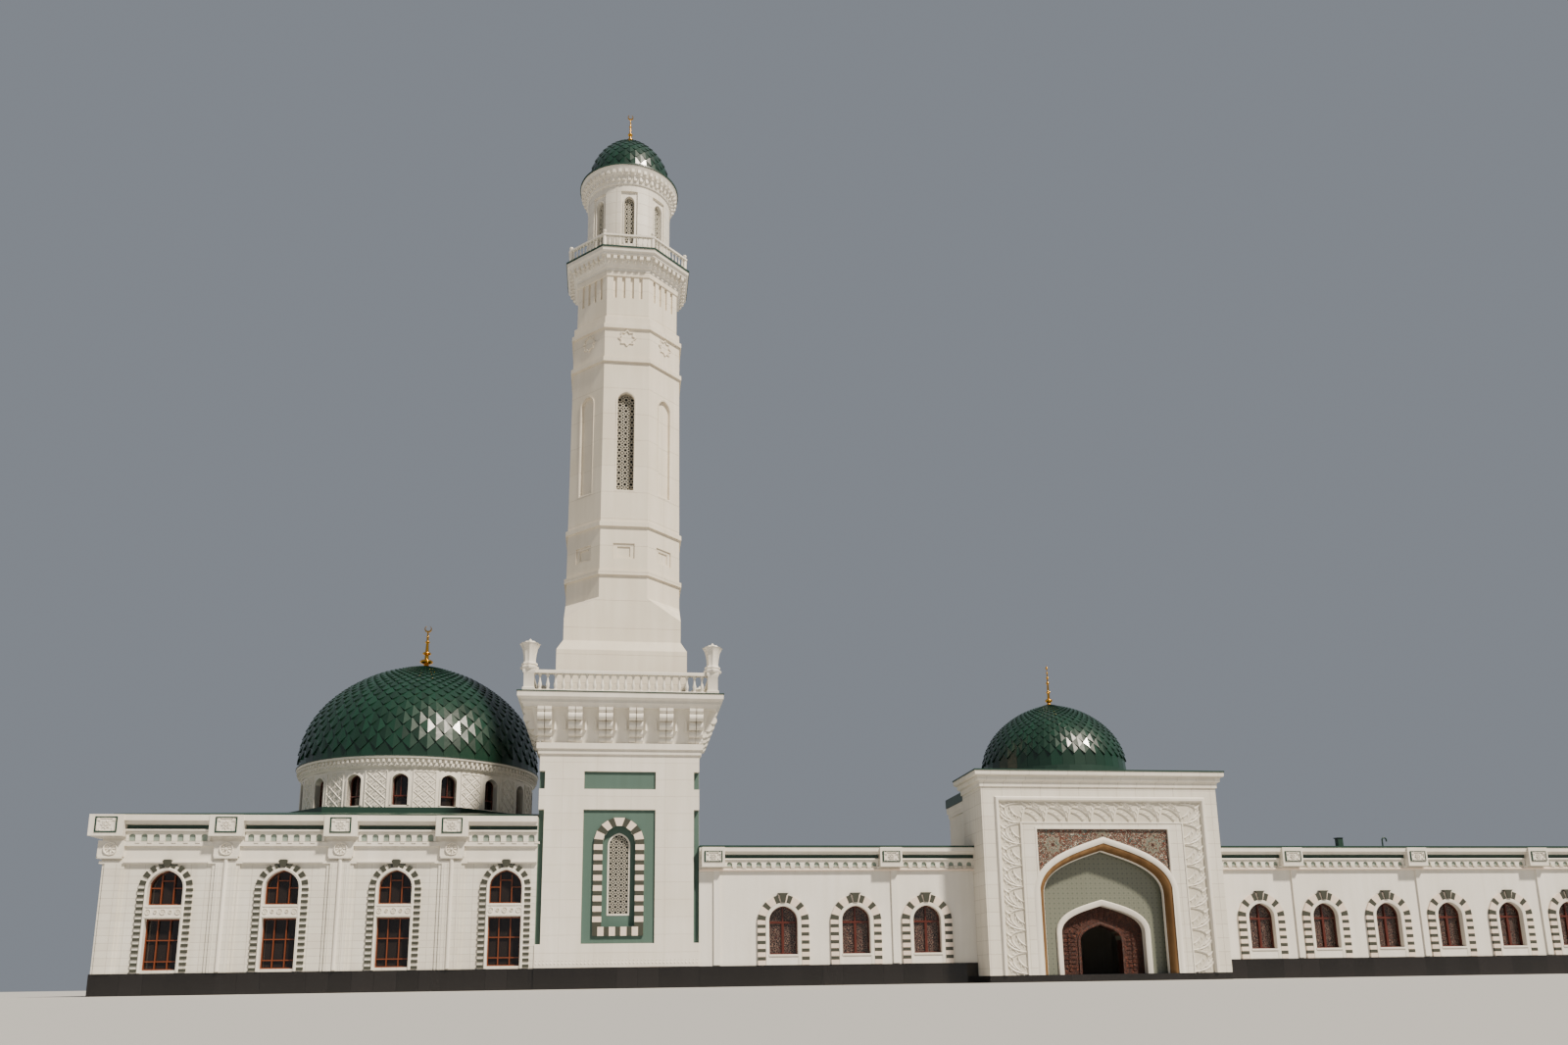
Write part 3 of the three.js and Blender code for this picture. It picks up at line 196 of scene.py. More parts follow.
@dataclass(frozen=True)
class SlabFacing(Finish):
    """Sawn stone slabs with narrow joints; every slab has its own slight tone."""

    slab: Point = (1.2, 0.6)
    joint_mm: float = 12.0
    joint_colour: str = "9A9184"
    second_colour: str = "CFC8BA"
    bond: float = 0.0

    def pattern(self, tree: Tree, where: Socket) -> tuple:
        """Draws slabs on upright walls, by the sum of X and Y across and by Z up.

        Args:
            tree: The material's node tree.
            where: Position in the model, in metres.

        Returns:
            The colour socket and the height socket.
        """
        across, up = self.along_and_up(tree, where)
        flat = add_node(tree, "CombineXYZ", {0: across, 1: up})
        slabs = add_node(tree, "TexBrick", {
            "Vector": flat.outputs[0], "Scale": 1.0, "Color1": linear(self.colour),
            "Color2": linear(self.second_colour), "Mortar": linear(self.joint_colour),
            "Mortar Size": self.joint_mm * MM, "Mortar Smooth": 0.1, "Bias": -0.2,
            "Brick Width": self.slab[0] * MODEL_SCALE, "Row Height": self.slab[1] * MODEL_SCALE},
            offset=self.bond)
        groove = add_node(tree, "Math", {0: slabs.outputs["Fac"], 1: -3.0}, operation="MULTIPLY")
        height = add_node(tree, "Math", {0: self.grain(tree, where, 5.0), 1: groove.outputs[0]},
                          operation="ADD")
        return slabs.outputs["Color"], height.outputs[0]


@dataclass(frozen=True)
class PolishedGranite(SlabFacing):
    """Black granite, polished: dark slabs with pale flecks and a mirror-like sheen."""

    fleck: str = "6B6965"
    fleck_mm: float = 25.0

    def pattern(self, tree: Tree, where: Socket) -> tuple:
        """Adds flecks to the slabs; real ones are 3 mm, drawn at 25 mm so that they show.

        Args:
            tree: The material's node tree.
            where: Position in the model, in metres.

        Returns:
            The colour socket and the height socket.
        """
        colour, height = SlabFacing.pattern(self, tree, where)
        flecks = add_node(tree, "TexVoronoi", {"Vector": where, "Scale": 1 / (self.fleck_mm * MM)})
        share = add_node(tree, "MapRange", {0: flecks.outputs["Distance"], 1: 0.1, 2: 0.22, 3: 0.45, 4: 0.0})
        flecked = add_node(tree, "Mix", {0: share.outputs[0], 6: colour, 7: linear(self.fleck)},
                           data_type="RGBA")
        return flecked.outputs[2], height


@dataclass(frozen=True)
class GlazedTile(Finish):
    """Fired tile under a deep glaze: tone shifts from tile to tile, with a wet shine."""

    second_colour: str = "2A6450"

    def pattern(self, tree: Tree, where: Socket) -> tuple:
        """Gives each tile its own tone from its island, and the glaze slow ripples.

        Args:
            tree: The material's node tree.
            where: Position in the model, in metres.

        Returns:
            The colour socket and the height socket.
        """
        own = add_node(tree, "NewGeometry").outputs["Random Per Island"]
        ripple = self.grain(tree, where, 2.0)
        tone = add_node(tree, "Math", {0: ripple, 1: 0.35, 2: own}, operation="MULTIPLY_ADD")
        share = add_node(tree, "Math", {0: tone.outputs[0], 1: 0.6}, operation="MULTIPLY")
        toned = add_node(tree, "Mix", {0: share.outputs[0], 6: linear(self.colour),
                                       7: linear(self.second_colour)}, data_type="RGBA")
        return toned.outputs[2], ripple


@dataclass(frozen=True)
class VarnishedWood(Finish):
    """Softwood frames under a clear brown varnish: grain runs along the bars."""

    second_colour: str = "6E3210"
    line_mm: float = 30.0

    def pattern(self, tree: Tree, where: Socket) -> tuple:
        """Draws upright grain lines, 8 mm apart on the real wood and 30 mm here so that they show.

        Args:
            tree: The material's node tree.
            where: Position in the model, in metres.

        Returns:
            The colour socket and the height socket.
        """
        run = add_node(tree, "Mapping", {"Vector": where, "Scale": (1.0, 1.0, 0.06)})
        grain = add_node(tree, "TexNoise", {"Vector": run.outputs[0], "Scale": 1 / (self.line_mm * MM),
                                            "Detail": 3.0, "Distortion": 0.6})
        toned = add_node(tree, "Mix", {0: grain.outputs["Fac"], 6: linear(self.colour),
                                       7: linear(self.second_colour)}, data_type="RGBA")
        return toned.outputs[2], grain.outputs["Fac"]


@dataclass(frozen=True)
class PatternTile(Finish):
    """Small square tiles, each with a stylised flower under the glaze."""

    motif: str = "60665A"
    joint: str = "6B6E60"
    tile_mm: float = 220.0

    def pattern(self, tree: Tree, where: Socket) -> tuple:
        """Draws a four-petalled flower in the middle of each tile, and the joints between tiles.

        Args:
            tree: The material's node tree.
            where: Position in the model, in metres.

        Returns:
            The colour socket and the height socket.
        """
        cells = []
        for line in self.along_and_up(tree, where):
            for operation, by in (("DIVIDE", self.tile_mm * MM), ("FRACT", 0.0), ("SUBTRACT", 0.5),
                                  ("ABSOLUTE", 0.0)):
                line = add_node(tree, "Math", {0: line, 1: by}, operation=operation).outputs[0]
            cells.append(line)
        product, reach = (add_node(tree, "Math", {0: cells[0], 1: cells[1]}, operation=operation).outputs[0]
                          for operation in ("MULTIPLY", "MAXIMUM"))
        bulge = add_node(tree, "Math", {0: reach, 1: 0.06, 2: product}, operation="MULTIPLY_ADD")
        petal = add_node(tree, "Math", {0: bulge.outputs[0], 1: 0.021}, operation="LESS_THAN")
        near = add_node(tree, "Math", {0: reach, 1: 0.3}, operation="LESS_THAN")
        flower = add_node(tree, "Math", {0: petal.outputs[0], 1: near.outputs[0]}, operation="MULTIPLY")
        joint = add_node(tree, "Math", {0: reach, 1: 0.475}, operation="GREATER_THAN").outputs[0]
        inner = add_node(tree, "Mix", {0: flower.outputs[0], 6: linear(self.colour),
                                       7: linear(self.motif)}, data_type="RGBA")
        tile = add_node(tree, "Mix", {0: joint, 6: inner.outputs[2], 7: linear(self.joint)},
                        data_type="RGBA")
        height = add_node(tree, "Math", {0: joint, 1: -1.0}, operation="MULTIPLY")
        return tile.outputs[2], height.outputs[0]


@dataclass(frozen=True)
class InlayMosaic(Finish):
    """Cut tile mosaic in brown, teal and cream."""

    leaf: str = "3C6A66"
    blossom: str = "D9CDBA"
    stem: str = "7A3B22"
    joint: str = "2C1B16"
    piece_mm: float = 150.0
    warp_mm: float = 666.7

    def pattern(self, tree: Tree, where: Socket) -> tuple:
        """Fills the field with small cut pieces: most brown, some teal, the smallest cream.

        Args:
            tree: The material's node tree.
            where: Position in the model, in metres.

        Returns:
            The colour socket and the height socket.
        """
        warp = add_node(tree, "TexNoise", {"Vector": where, "Scale": 1 / (self.warp_mm * MM),
                                           "Detail": 2.0})
        bent = add_node(tree, "VectorMath", {0: where, 1: warp.outputs["Color"], 2: (0.04, 0.04, 0.04)},
                        operation="MULTIPLY_ADD")
        spread = {"Vector": bent.outputs[0], "Scale": 1 / (self.piece_mm * MM)}
        pieces = add_node(tree, "TexVoronoi", spread)
        tone = add_node(tree, "SeparateXYZ", {0: pieces.outputs["Color"]})
        ramp = add_node(tree, "ValToRGB", {0: tone.outputs[0]})
        ramp.color_ramp.interpolation = "CONSTANT"
        stops = [(0.0, self.colour), (0.42, self.leaf), (0.66, self.stem), (0.86, self.blossom)]
        for spot, (at, hex_colour) in enumerate(stops):
            stop = ramp.color_ramp.elements[spot] if spot < 2 else ramp.color_ramp.elements.new(at)
            stop.position, stop.color = at, linear(hex_colour)
        edge = add_node(tree, "TexVoronoi", spread, feature="DISTANCE_TO_EDGE")
        joint = add_node(tree, "Math", {0: edge.outputs["Distance"], 1: 0.06}, operation="LESS_THAN")
        laid = add_node(tree, "Mix", {0: joint.outputs[0], 6: ramp.outputs[0], 7: linear(self.joint)},
                        data_type="RGBA")
        height = add_node(tree, "Math", {0: 1.0, 1: joint.outputs[0]}, operation="SUBTRACT")
        return laid.outputs[2], height.outputs[0]


@dataclass(frozen=True)
class PatternGlass(Finish):
    """Leaded panes with cut flowers: brown and cream shards over a near-black ground that is painted shade
    of the dim room behind.
    """

    shard: str = "6B564C"
    flower: str = "5A1F16"
    flower_mm: float = 110.0

    def pattern(self, tree: Tree, where: Socket) -> tuple:
        """Scatters flower-like shards, about 110 mm across on the real pane.

        Args:
            tree: The material's node tree.
            where: Position in the model, in metres.

        Returns:
            The colour socket and the height socket.
        """
        cells = add_node(tree, "TexVoronoi", {"Vector": where, "Scale": 1 / (self.flower_mm * MM),
                                              "Randomness": 0.7})
        wave = add_node(tree, "Math", {0: cells.outputs["Distance"], 1: 16.0}, operation="MULTIPLY")
        ring = add_node(tree, "Math", {0: wave.outputs[0]}, operation="SINE").outputs[0]
        petals = add_node(tree, "Math", {0: ring, 1: 0.45}, operation="GREATER_THAN")
        heart = add_node(tree, "Math", {0: cells.outputs["Distance"], 1: 0.16}, operation="LESS_THAN")
        toned = add_node(tree, "Mix", {0: petals.outputs[0], 6: linear(self.colour),
                                       7: linear(self.shard)}, data_type="RGBA")
        pane = add_node(tree, "Mix", {0: heart.outputs[0], 6: toned.outputs[2], 7: linear(self.flower)},
                        data_type="RGBA")
        return pane.outputs[2], ring


# Pale marble, sawn into slabs and honed: cream, faintly clouded, hardly glossy.
MARBLE = SlabFacing("honed_marble_slabs", "EAE5D9", 0.5, slab=(0.9, 0.6), joint_mm=9, joint_colour="C4BDAF",
                    second_colour="E3DDD0", grain_depth_mm=1.5)
# The hall's facing of the same marble in smaller slabs, 600 by 300 mm.
SMALL_SLABS = SlabFacing("small_marble_slabs", "E8E4D9", 0.5, slab=(0.6, 0.3), joint_mm=7,
                         joint_colour="C2BCAE", second_colour="E0DBCF", grain_depth_mm=1.5)
# The same marble where it is carved or moulded, without joints: crisp edges and a soft sheen.
CARVED_MARBLE = Finish("carved_marble", "EAE5DA", 0.5, grain_mm=90, grain_depth_mm=2.0)
# The same marble under a fine carved net, on the ground of the portal's leaf band: rough, and painted greyer
# as painted shade of the fine carving.
NET_MARBLE_PAINTED_SHADE = Finish("net_carved_marble_painted_shade", "D3CDBE", 0.6, grain_mm=70, grain_depth_mm=14.0, mottle=0.12)
# Limestone render on the minaret: warm beige, matt, with long level joints.
SHAFT_RENDER = SlabFacing("shaft_limestone_render", "EAE1D0", 0.75, slab=(40.0, 1.35), joint_mm=9,
                          joint_colour="D2C8B5", second_colour="E6DDCB", grain_mm=40, grain_depth_mm=2.5)
# The same render on the minaret's foot, in large slabs with faint joints.
FOOT_RENDER = SlabFacing("foot_limestone_render", "EDE7DB", 0.65, slab=(1.5, 0.75), joint_mm=6,
                         joint_colour="DCD5C7", second_colour="EAE4D7", grain_mm=60, grain_depth_mm=2.0)
# Pierced screens of grey limestone, a little weathered; their grey is darkened with painted shade for the
# recesses they stand in.
SCREEN_STONE_PAINTED_SHADE = Finish("grey_pierced_limestone_painted_shade", "C6C2B5", 0.65, grain_mm=60, grain_depth_mm=2.0)
# Lime plaster on the wings: off-white, quite matt, with a trowelled unevenness.
LIME_PLASTER = Finish("trowelled_lime_plaster", "EAE6DD", 0.85, grain_mm=140, grain_depth_mm=4.0, mottle=0.1)
# Polished black granite of the plinths.
GRANITE = PolishedGranite("polished_black_granite", "1D1B1A", 0.12, slab=(0.9, 0.88), joint_mm=8,
                          joint_colour="0D0C0C", second_colour="262322", grain_depth_mm=0.3, mottle=0.05)
# Green glazed ceramic on the domes: deep bottle green that flashes white towards the sun.
DOME_TILE = GlazedTile("green_glazed_dome_tile", "0E241A", 0.3, coat=0.15, grain_mm=500, grain_depth_mm=8,
                       second_colour="193E2E", mottle=0.02)
# Smooth render in grey-green paint inside the tower's recesses.
GREEN_PAINT = Finish("green_painted_render", "4D675E", 0.7, grain_depth_mm=1.5)
# The paler paint behind the small arches of the friezes.
PALE_PAINT = Finish("pale_green_painted_render", "8B9A90", 0.7, grain_depth_mm=1.5)
# Dark green enamelled steel sheet on roofs, bands and edges.
GREEN_SHEET = Finish("dark_green_enamelled_sheet", "1D3B30", 0.4, grain_mm=800, mottle=0.1)
# Dark green and pale rose stone of the striped surrounds, both honed.
GREEN_STONE = Finish("dark_green_serpentine", "3E4036", 0.45, grain_mm=70)
ROSE_STONE = Finish("pale_rose_limestone", "EBDACB", 0.55, grain_mm=70)
# Varnished window joinery, orange brown, and the darker stain of the wings' windows.
WINDOW_WOOD = VarnishedWood("varnished_pine", "70391D", 0.35, coat=0.3, mottle=0.05)
DARK_WOOD = VarnishedWood("stained_dark_wood", "5E2415", 0.35, second_colour="3A140B", coat=0.3, mottle=0.05)
# Window glass seen from outside, painted near black as painted shade of the dim rooms behind, with a clear
# reflection, and the wings' flowered leaded panes.
GLASS_PAINTED_SHADE = Finish("window_glass_painted_shade", "241E1B", 0.06, ior=1.52, grain_mm=900, grain_depth_mm=1.0,
                    mottle=0.0)
FLOWER_GLASS = PatternGlass("flowered_leaded_glass", "241D1E", 0.18, ior=1.52, grain_depth_mm=1.0,
                            mottle=0.0)
# Painted shadow: a near-black sheet that stands for the dim interior seen through the lattices.
SHADOW = Finish("painted_shadow_interior", "1E211D", 0.9, mottle=0.0)
# Gilded metal, polished, and the slightly worn gilding of the arch's rope moulding.
GILDING = Finish("polished_gilding", "D9A03C", 0.22, metallic=1.0, grain_mm=200, grain_depth_mm=0.4,
                 mottle=0.08)
WORN_GILDING = Finish("worn_gilding", "94724A", 0.45, metallic=0.45, grain_mm=90, grain_depth_mm=6.0,
                      mottle=0.5)
# Pale green tiles of the great niche, each with a small darker flower.
NICHE_TILE = PatternTile("pale_green_flower_tile", "777A6C", 0.3, coat=0.15, grain_depth_mm=2.0, mottle=0.05)
# Cut tile mosaic of the spandrels and red-brown carved terracotta round the doorway.
MOSAIC = InlayMosaic("scroll_inlay_mosaic", "6E4030", 0.3, coat=0.2, grain_depth_mm=3.0, mottle=0.02)
CREAM_INLAY = InlayMosaic("cream_inlay_mosaic", "A3927C", 0.35, leaf="6E8C84", blossom="C9BBA5", piece_mm=90,
                          grain_depth_mm=3.0, mottle=0.02)
TERRACOTTA = InlayMosaic("carved_terracotta", "402018", 0.55, leaf="351C15", blossom="6E4D3F", piece_mm=110,
                         grain_depth_mm=10.0, mottle=0.1)

# Matt seamless paper on the studio floor.
FLOOR_PAPER = Finish("studio_floor_paper", "B2B1AE", 0.95, mottle=0.0, grain_depth_mm=0.0)


# Shapes, in metres of the real building.


class Slot(Enum):
    """The record's material slots; each new piece keeps one, which nothing here uses."""

    MARBLE = "marble"
    SHAFT = "shaft_stone"
    LATTICE = "stone_lattice"
    ROOF = "roof_slab"
    DOME = "dome_tile"
    GILDED = "gilded_metal"
    GOLD = "gold_trim"
    GLASS = "window_glass"


def on_wall(x: float, y: float, turn: float = 0.0) -> Place:
    """Gives the place of points drawn on a wall.

    Args:
        x: Where the wall's own zero lies.
        y: Where the wall's face lies.
        turn: Turn about the vertical in radians; 0 faces the street.

    Returns:
        A function from (along, up, out of the wall) to a point of the building.
    """
    cos, sin = math.cos(turn), math.sin(turn)
    return lambda u, v, w: (x + u * cos + w * sin, y + u * sin - w * cos, v)


def sides_round(count: int) -> list[Place]:
    """Returns a place for each flat side round the minaret's axis, the street's side first."""
    return [on_wall(0, 0, 2 * math.pi * side / count) for side in range(count)]


def on_drum(x: float, y: float, radius: float) -> Place:
    """Gives the place of points drawn round a cylinder, from the side that faces the street."""
    return lambda u, v, w: (x + (radius + w) * math.sin(u / radius),
                            y - (radius + w) * math.cos(u / radius), v)


def moved(place: Place, u0: float = 0.0, v0: float = 0.0, w0: float = 0.0, angle: float = 0.0) -> Place:
    """Shifts a place along its wall, and turns what is drawn there in the wall's plane."""
    cos, sin = math.cos(angle), math.sin(angle)
    return lambda u, v, w: place(u0 + u * cos - v * sin, v0 + u * sin + v * cos, w0 + w)


def rectangle(u0: float, u1: float, v0: float, v1: float) -> list[Point]:
    """Returns a rectangle's corners, anticlockwise."""
    return [(u0, v0), (u1, v0), (u1, v1), (u0, v1)]


def circle(radius: float, count: int, turn: float = 0.0) -> list[Point]:
    """Returns points round a circle, anticlockwise."""
    angles = [turn + 2 * math.pi * i / count for i in range(count)]
    return [(radius * math.cos(a), radius * math.sin(a)) for a in angles]


def star(outer: float, inner: float, points: int, turn: float = math.pi / 2) -> list[Point]:
    """Returns the outline of a star, anticlockwise."""
    rays = [(inner if i % 2 else outer, turn + math.pi * i / points) for i in range(2 * points)]
    return [(reach * math.cos(a), reach * math.sin(a)) for reach, a in rays]


def cubic(controls: Sequence[Point], t: float) -> Point:
    """Returns the point at share t of a curve bent by four control points."""
    shares = [(1 - t) ** 3, 3 * t * (1 - t) ** 2, 3 * t * t * (1 - t), t ** 3]
    return tuple(sum(s * c[k] for s, c in zip(shares, controls)) for k in (0, 1))


def shifted(section: Sequence[Point], u0: float, v0: float = 0.0) -> list[Point]:
    """Returns a section's points moved across and up."""
    return [(u0 + u, v0 + v) for u, v in section]


def around(middle: float, half: float) -> Point:
    """Returns the two ends of a stretch about its middle."""
    return middle - half, middle + half


def strip(start: float, end: float, back: float, front: float) -> list[Point]:
    """Returns the section of a flat strip: from and to across, and its back and front."""
    return [(start, back), (start, front), (end, front), (end, back)]


def grid(rings: int, count: int) -> list[tuple[int, ...]]:
    """Returns the faces between closed rings of points, the lowest ring first."""
    return [(k * count + i, k * count + (i + 1) % count, (k + 1) * count + (i + 1) % count,
             (k + 1) * count + i) for k in range(rings - 1) for i in range(count)]


@dataclass(frozen=True)
class Arch:
    """An opening with straight sides and a slightly pointed head."""

    half: float
    bottom: float
    spring: float
    rise: float
    point: float = 0.92
    steps: int = 10

    def grown(self, width: float, drop: float = 0.0) -> "Arch":
        """Returns the same arch with every side moved outwards."""
        return Arch(self.half + width, self.bottom - drop, self.spring, self.rise + width * 1.1, self.point,
                    self.steps)

    def head(self) -> list[Point]:
        """Draws the head, from the left springing over the tip to the right one.

        Returns:
            Its points.
        """
        left, top = -self.half, self.spring + self.rise
        controls = [(left, self.spring), (left, self.spring + 0.6 * self.rise),
                    (0.45 * left, self.spring + self.point * self.rise), (0.0, top)]
        side = [cubic(controls, i / self.steps) for i in range(self.steps + 1)]
        return side + [(-u, v) for u, v in side[-2::-1]]

    def path(self) -> list[Point]:
        """Returns the open line from the lower left corner, over the head, to the lower right one."""
        return [(-self.half, self.bottom), *self.head(), (self.half, self.bottom)]

    def holds(self, u: float, v: float, margin: float = 0.0) -> bool:
        """Tells whether a point lies inside.

        Args:
            u: Its place along.
            v: Its place up.
            margin: How far from the edge it has to lie.

        Returns:
            Whether it lies inside by at least the margin.
        """
        if v < self.bottom + margin or abs(u) > self.half - margin:
            return False
        above = [q for q in self.head() if q[0] >= -1e-9]
        edge = next((q[1] for q in above if q[0] >= abs(u)), self.spring)
        return v < self.spring or v < edge - margin


class Piece:
    """One object under construction: points and faces in real metres, each face with its finish."""

    def __init__(self, name: str, slot: Slot = Slot.MARBLE) -> None:
        """Starts an empty piece.

        Args:
            name: The object's name.
            slot: The record's slot it belongs to; kept, but not used.
        """
        self.name = name
        self.slot = slot
        self.points: list[Spot] = []
        self.faces: list[tuple[int, ...]] = []
        self.finishes: list[Finish] = []
        self.face_finish: list[int] = []

    def add(self, points: Iterable, faces: Iterable[Sequence[int]], finish: Finish = CARVED_MARBLE) -> None:
        """Adds faces with their points.

        Args:
            points: New points, in real metres.
            faces: Corners of each face, numbered from the first of these points.
            finish: Their finish; carved marble if none is given, here and in the methods below.
        """
        start = len(self.points)
        if finish not in self.finishes:
            self.finishes.append(finish)
        which = self.finishes.index(finish)
        self.points.extend(points)
        for face in faces:
            self.faces.append(tuple(start + i for i in face))
            self.face_finish.append(which)

    def block(self, place: Place, u: Point, v: Point, w: Point, finish: Finish = CARVED_MARBLE,
              taper: float = 0.0) -> None:
        """Adds a block without its back face.

        Args:
            place: Where it is drawn.
            u: From and to along the wall.
            v: From and to upwards.
            w: Its back and its front, out of the wall.
            finish: Its finish.
            taper: How far the front is drawn in on every side.
        """
        back = [place(*corner, w[0]) for corner in rectangle(u[0], u[1], v[0], v[1])]
        front = [place(*corner, w[1]) for corner in
                 rectangle(u[0] + taper, u[1] - taper, v[0] + taper, v[1] - taper)]
        sides = [(0, 1, 5, 4), (1, 2, 6, 5), (2, 3, 7, 6), (3, 0, 4, 7)]
        self.add([*back, *front], [(4, 5, 6, 7), *sides], finish)

    def plate(self, place: Place, outline: Sequence[Point], back: float, front: float,
              finish: Finish = CARVED_MARBLE, holes: Sequence[Sequence[Point]] = ()) -> None:
        """Adds a flat shape with thickness and no back face.

        Args:
            place: Where it is drawn.
            outline: Its outline.
            back: Where its sides start, out of the wall.
            front: Where its face lies.
            finish: Its finish.
            holes: Outlines cut through it.
        """
        loops = [list(outline), *[list(hole) for hole in holes]]
        flat = [corner for loop in loops for corner in loop]
        triangles = tessellate_polygon([[Vector((u, v, 0)) for u, v in loop] for loop in loops])
        faces = []
        for a, b, c in triangles:
            (ua, va), (ub, vb), (uc, vc) = flat[a], flat[b], flat[c]
            turn = (ub - ua) * (vc - va) - (uc - ua) * (vb - va)
            faces.append((a, b, c) if turn > 0 else (a, c, b))
        self.add([place(u, v, front) for u, v in flat], faces, finish)
        for number, loop in enumerate(loops):
            area = sum(p[0] * q[1] - q[0] * p[1] for p, q in zip(loop, loop[1:] + loop[:1]))
            if (area < 0) == (number == 0):
                loop = loop[::-1]
            count = len(loop)
            ends = [place(u, v, back) for u, v in loop] + [place(u, v, front) for u, v in loop]
            walls = [(i, (i + 1) % count, count + (i + 1) % count, count + i) for i in range(count)]
            self.add(ends, walls, finish)

    def sweep(self, place: Place, path: Sequence[Point], profile: Sequence[Point],
              finish: Finish = CARVED_MARBLE, closed: bool = False) -> None:
        """Runs a moulding along a line on the wall, with mitred corners.

        Args:
            place: Where it is drawn.
            path: The line, along and up.
            profile: The moulding's section: distance to the line's left, and height out of the wall.
            finish: Its finish.
            closed: Whether the line joins its own start.
        """
        count, rings = len(path), []
        for i, (u, v) in enumerate(path):
            before = path[(i - 1) % count] if closed or i else path[i]
            after = path[(i + 1) % count] if closed or i < count - 1 else path[i]
            first = Vector((u - before[0], v - before[1]))
            second = Vector((after[0] - u, after[1] - v))
            first = first.normalized() if first.length > 1e-9 else second.normalized()
            second = second.normalized() if second.length > 1e-9 else first
            side = (Vector((-first.y, first.x)) + Vector((-second.y, second.x))).normalized()
            stretch = 1 / max(0.5, side.dot(Vector((-first.y, first.x))))
            rings.append([place(u + side.x * d * stretch, v + side.y * d * stretch, w) for d, w in profile])
        size = len(profile)
        faces = []
        for i in range(count if closed else count - 1):
            a, b = i * size, ((i + 1) % count) * size
            faces += [(a + k, b + k, b + k + 1, a + k + 1) for k in range(size - 1)]
        if not closed:
            faces += [tuple(range(size)), tuple(range((count - 1) * size, count * size))[::-1]]
        self.add([corner for ring in rings for corner in ring], faces, finish)

    def lathe(self, x: float, y: float, profile: Sequence[Point], count: int, finish: Finish = CARVED_MARBLE,
              lobes: int = 0, depth: float = 0.0) -> None:
        """Turns a section about an upright axis.

        Args:
            x: The axis's place across.
            y: The axis's place to the back.
            profile: Radius and height, from the bottom up on the outside.
            count: Steps round.
            finish: Its finish.
            lobes: Number of flutes, if it is fluted.
            depth: How deep the flutes go, as a share of the radius.
        """
        points = []
        for radius, z in profile:
            for i in range(count):
                a = 2 * math.pi * i / count
                r = radius * (1 - depth * (0.5 - 0.5 * math.cos(lobes * a))) if lobes else radius
                points.append((x + r * math.sin(a), y - r * math.cos(a), z))
        self.add(points, grid(len(profile), count), finish)

    def pane(self, place: Place, outline: Sequence[Point], depth: float, finish: Finish) -> None:
        """Adds a flat sheet, such as a pane of glass, that faces out of the wall."""
        self.add([place(u, v, depth) for u, v in outline], [tuple(range(len(outline)))], finish)

    def build(self, replaces: Sequence[str] = (), smooth: float = 38.0) -> None:
        """Makes the object, lets it ride on the building and logs it.

        Args:
            replaces: CAD nodes that it stands for.
            smooth: Edges sharper than this many degrees stay sharp.
        """
        mesh = bpy.data.meshes.new(self.name)
        scaled = [(x * MODEL_SCALE, y * MODEL_SCALE, z * MODEL_SCALE) for x, y, z in self.points]
        mesh.from_pydata(scaled, [], self.faces)
        for finish in self.finishes:
            mesh.materials.append(finish.material())
        mesh.polygons.foreach_set("material_index", self.face_finish)
        mesh.validate()
        mesh.shade_smooth()
        mesh.set_sharp_from_angle(angle=math.radians(smooth))
        made = bpy.data.objects.new(self.name, mesh)
        bpy.context.scene.collection.objects.link(made)
        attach(made, "root")
        if replaces:
            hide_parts(*replaces)
        log.info("%s: %d faces", self.name, len(self.faces))


def dress(finish: Finish, *nodes: str) -> None:
    """Gives CAD nodes a finish.

    Args:
        finish: The finish.
        nodes: Names of the nodes.
    """
    for name in nodes:
        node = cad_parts[name]
        node.data.materials.clear()
        node.data.materials.append(finish.material())
        log.info("%s: %s", name, finish.name)


def girdle(piece: Piece, plan: Sequence[Point], profile: Sequence[Point],
           finish: Finish = CARVED_MARBLE) -> None:
    """Runs a moulding round a closed plan, such as a cornice round a tower.

    Args:
        piece: Where it is added.
        plan: Corners of the plan, anticlockwise from above.
        profile: Distance out of the plan and height, from the bottom up.
        finish: Its finish.
    """
    count, size = len(plan), len(profile)
    points = []
    for i, (x, y) in enumerate(plan):
        before, after = Vector(plan[i - 1]), Vector(plan[(i + 1) % count])
        first, second = (Vector((x, y)) - before).normalized(), (after - Vector((x, y))).normalized()
        out = Vector((first.y, -first.x)) + Vector((second.y, -second.x))
        out = out / max(0.3, out.dot(Vector((first.y, -first.x))))
        points += [(x + out.x * d, y + out.y * d, z) for d, z in profile]
    faces = [(i * size + k, (i + 1) % count * size + k, (i + 1) % count * size + k + 1, i * size + k + 1)
             for i in range(count) for k in range(size - 1)]
    piece.add(points, faces, finish)


def square(half: float, x: float = 0.0, y: float = 0.0) -> list[Point]:
    """Returns a square plan, anticlockwise from above."""
    return rectangle(x - half, x + half, y - half, y + half)


def octagon(apothem: float) -> list[Point]:
    """Returns an octagonal plan whose flat sides lie at the given distance from the middle."""
    return circle(apothem / math.cos(math.pi / 8), 8, math.pi / 8)


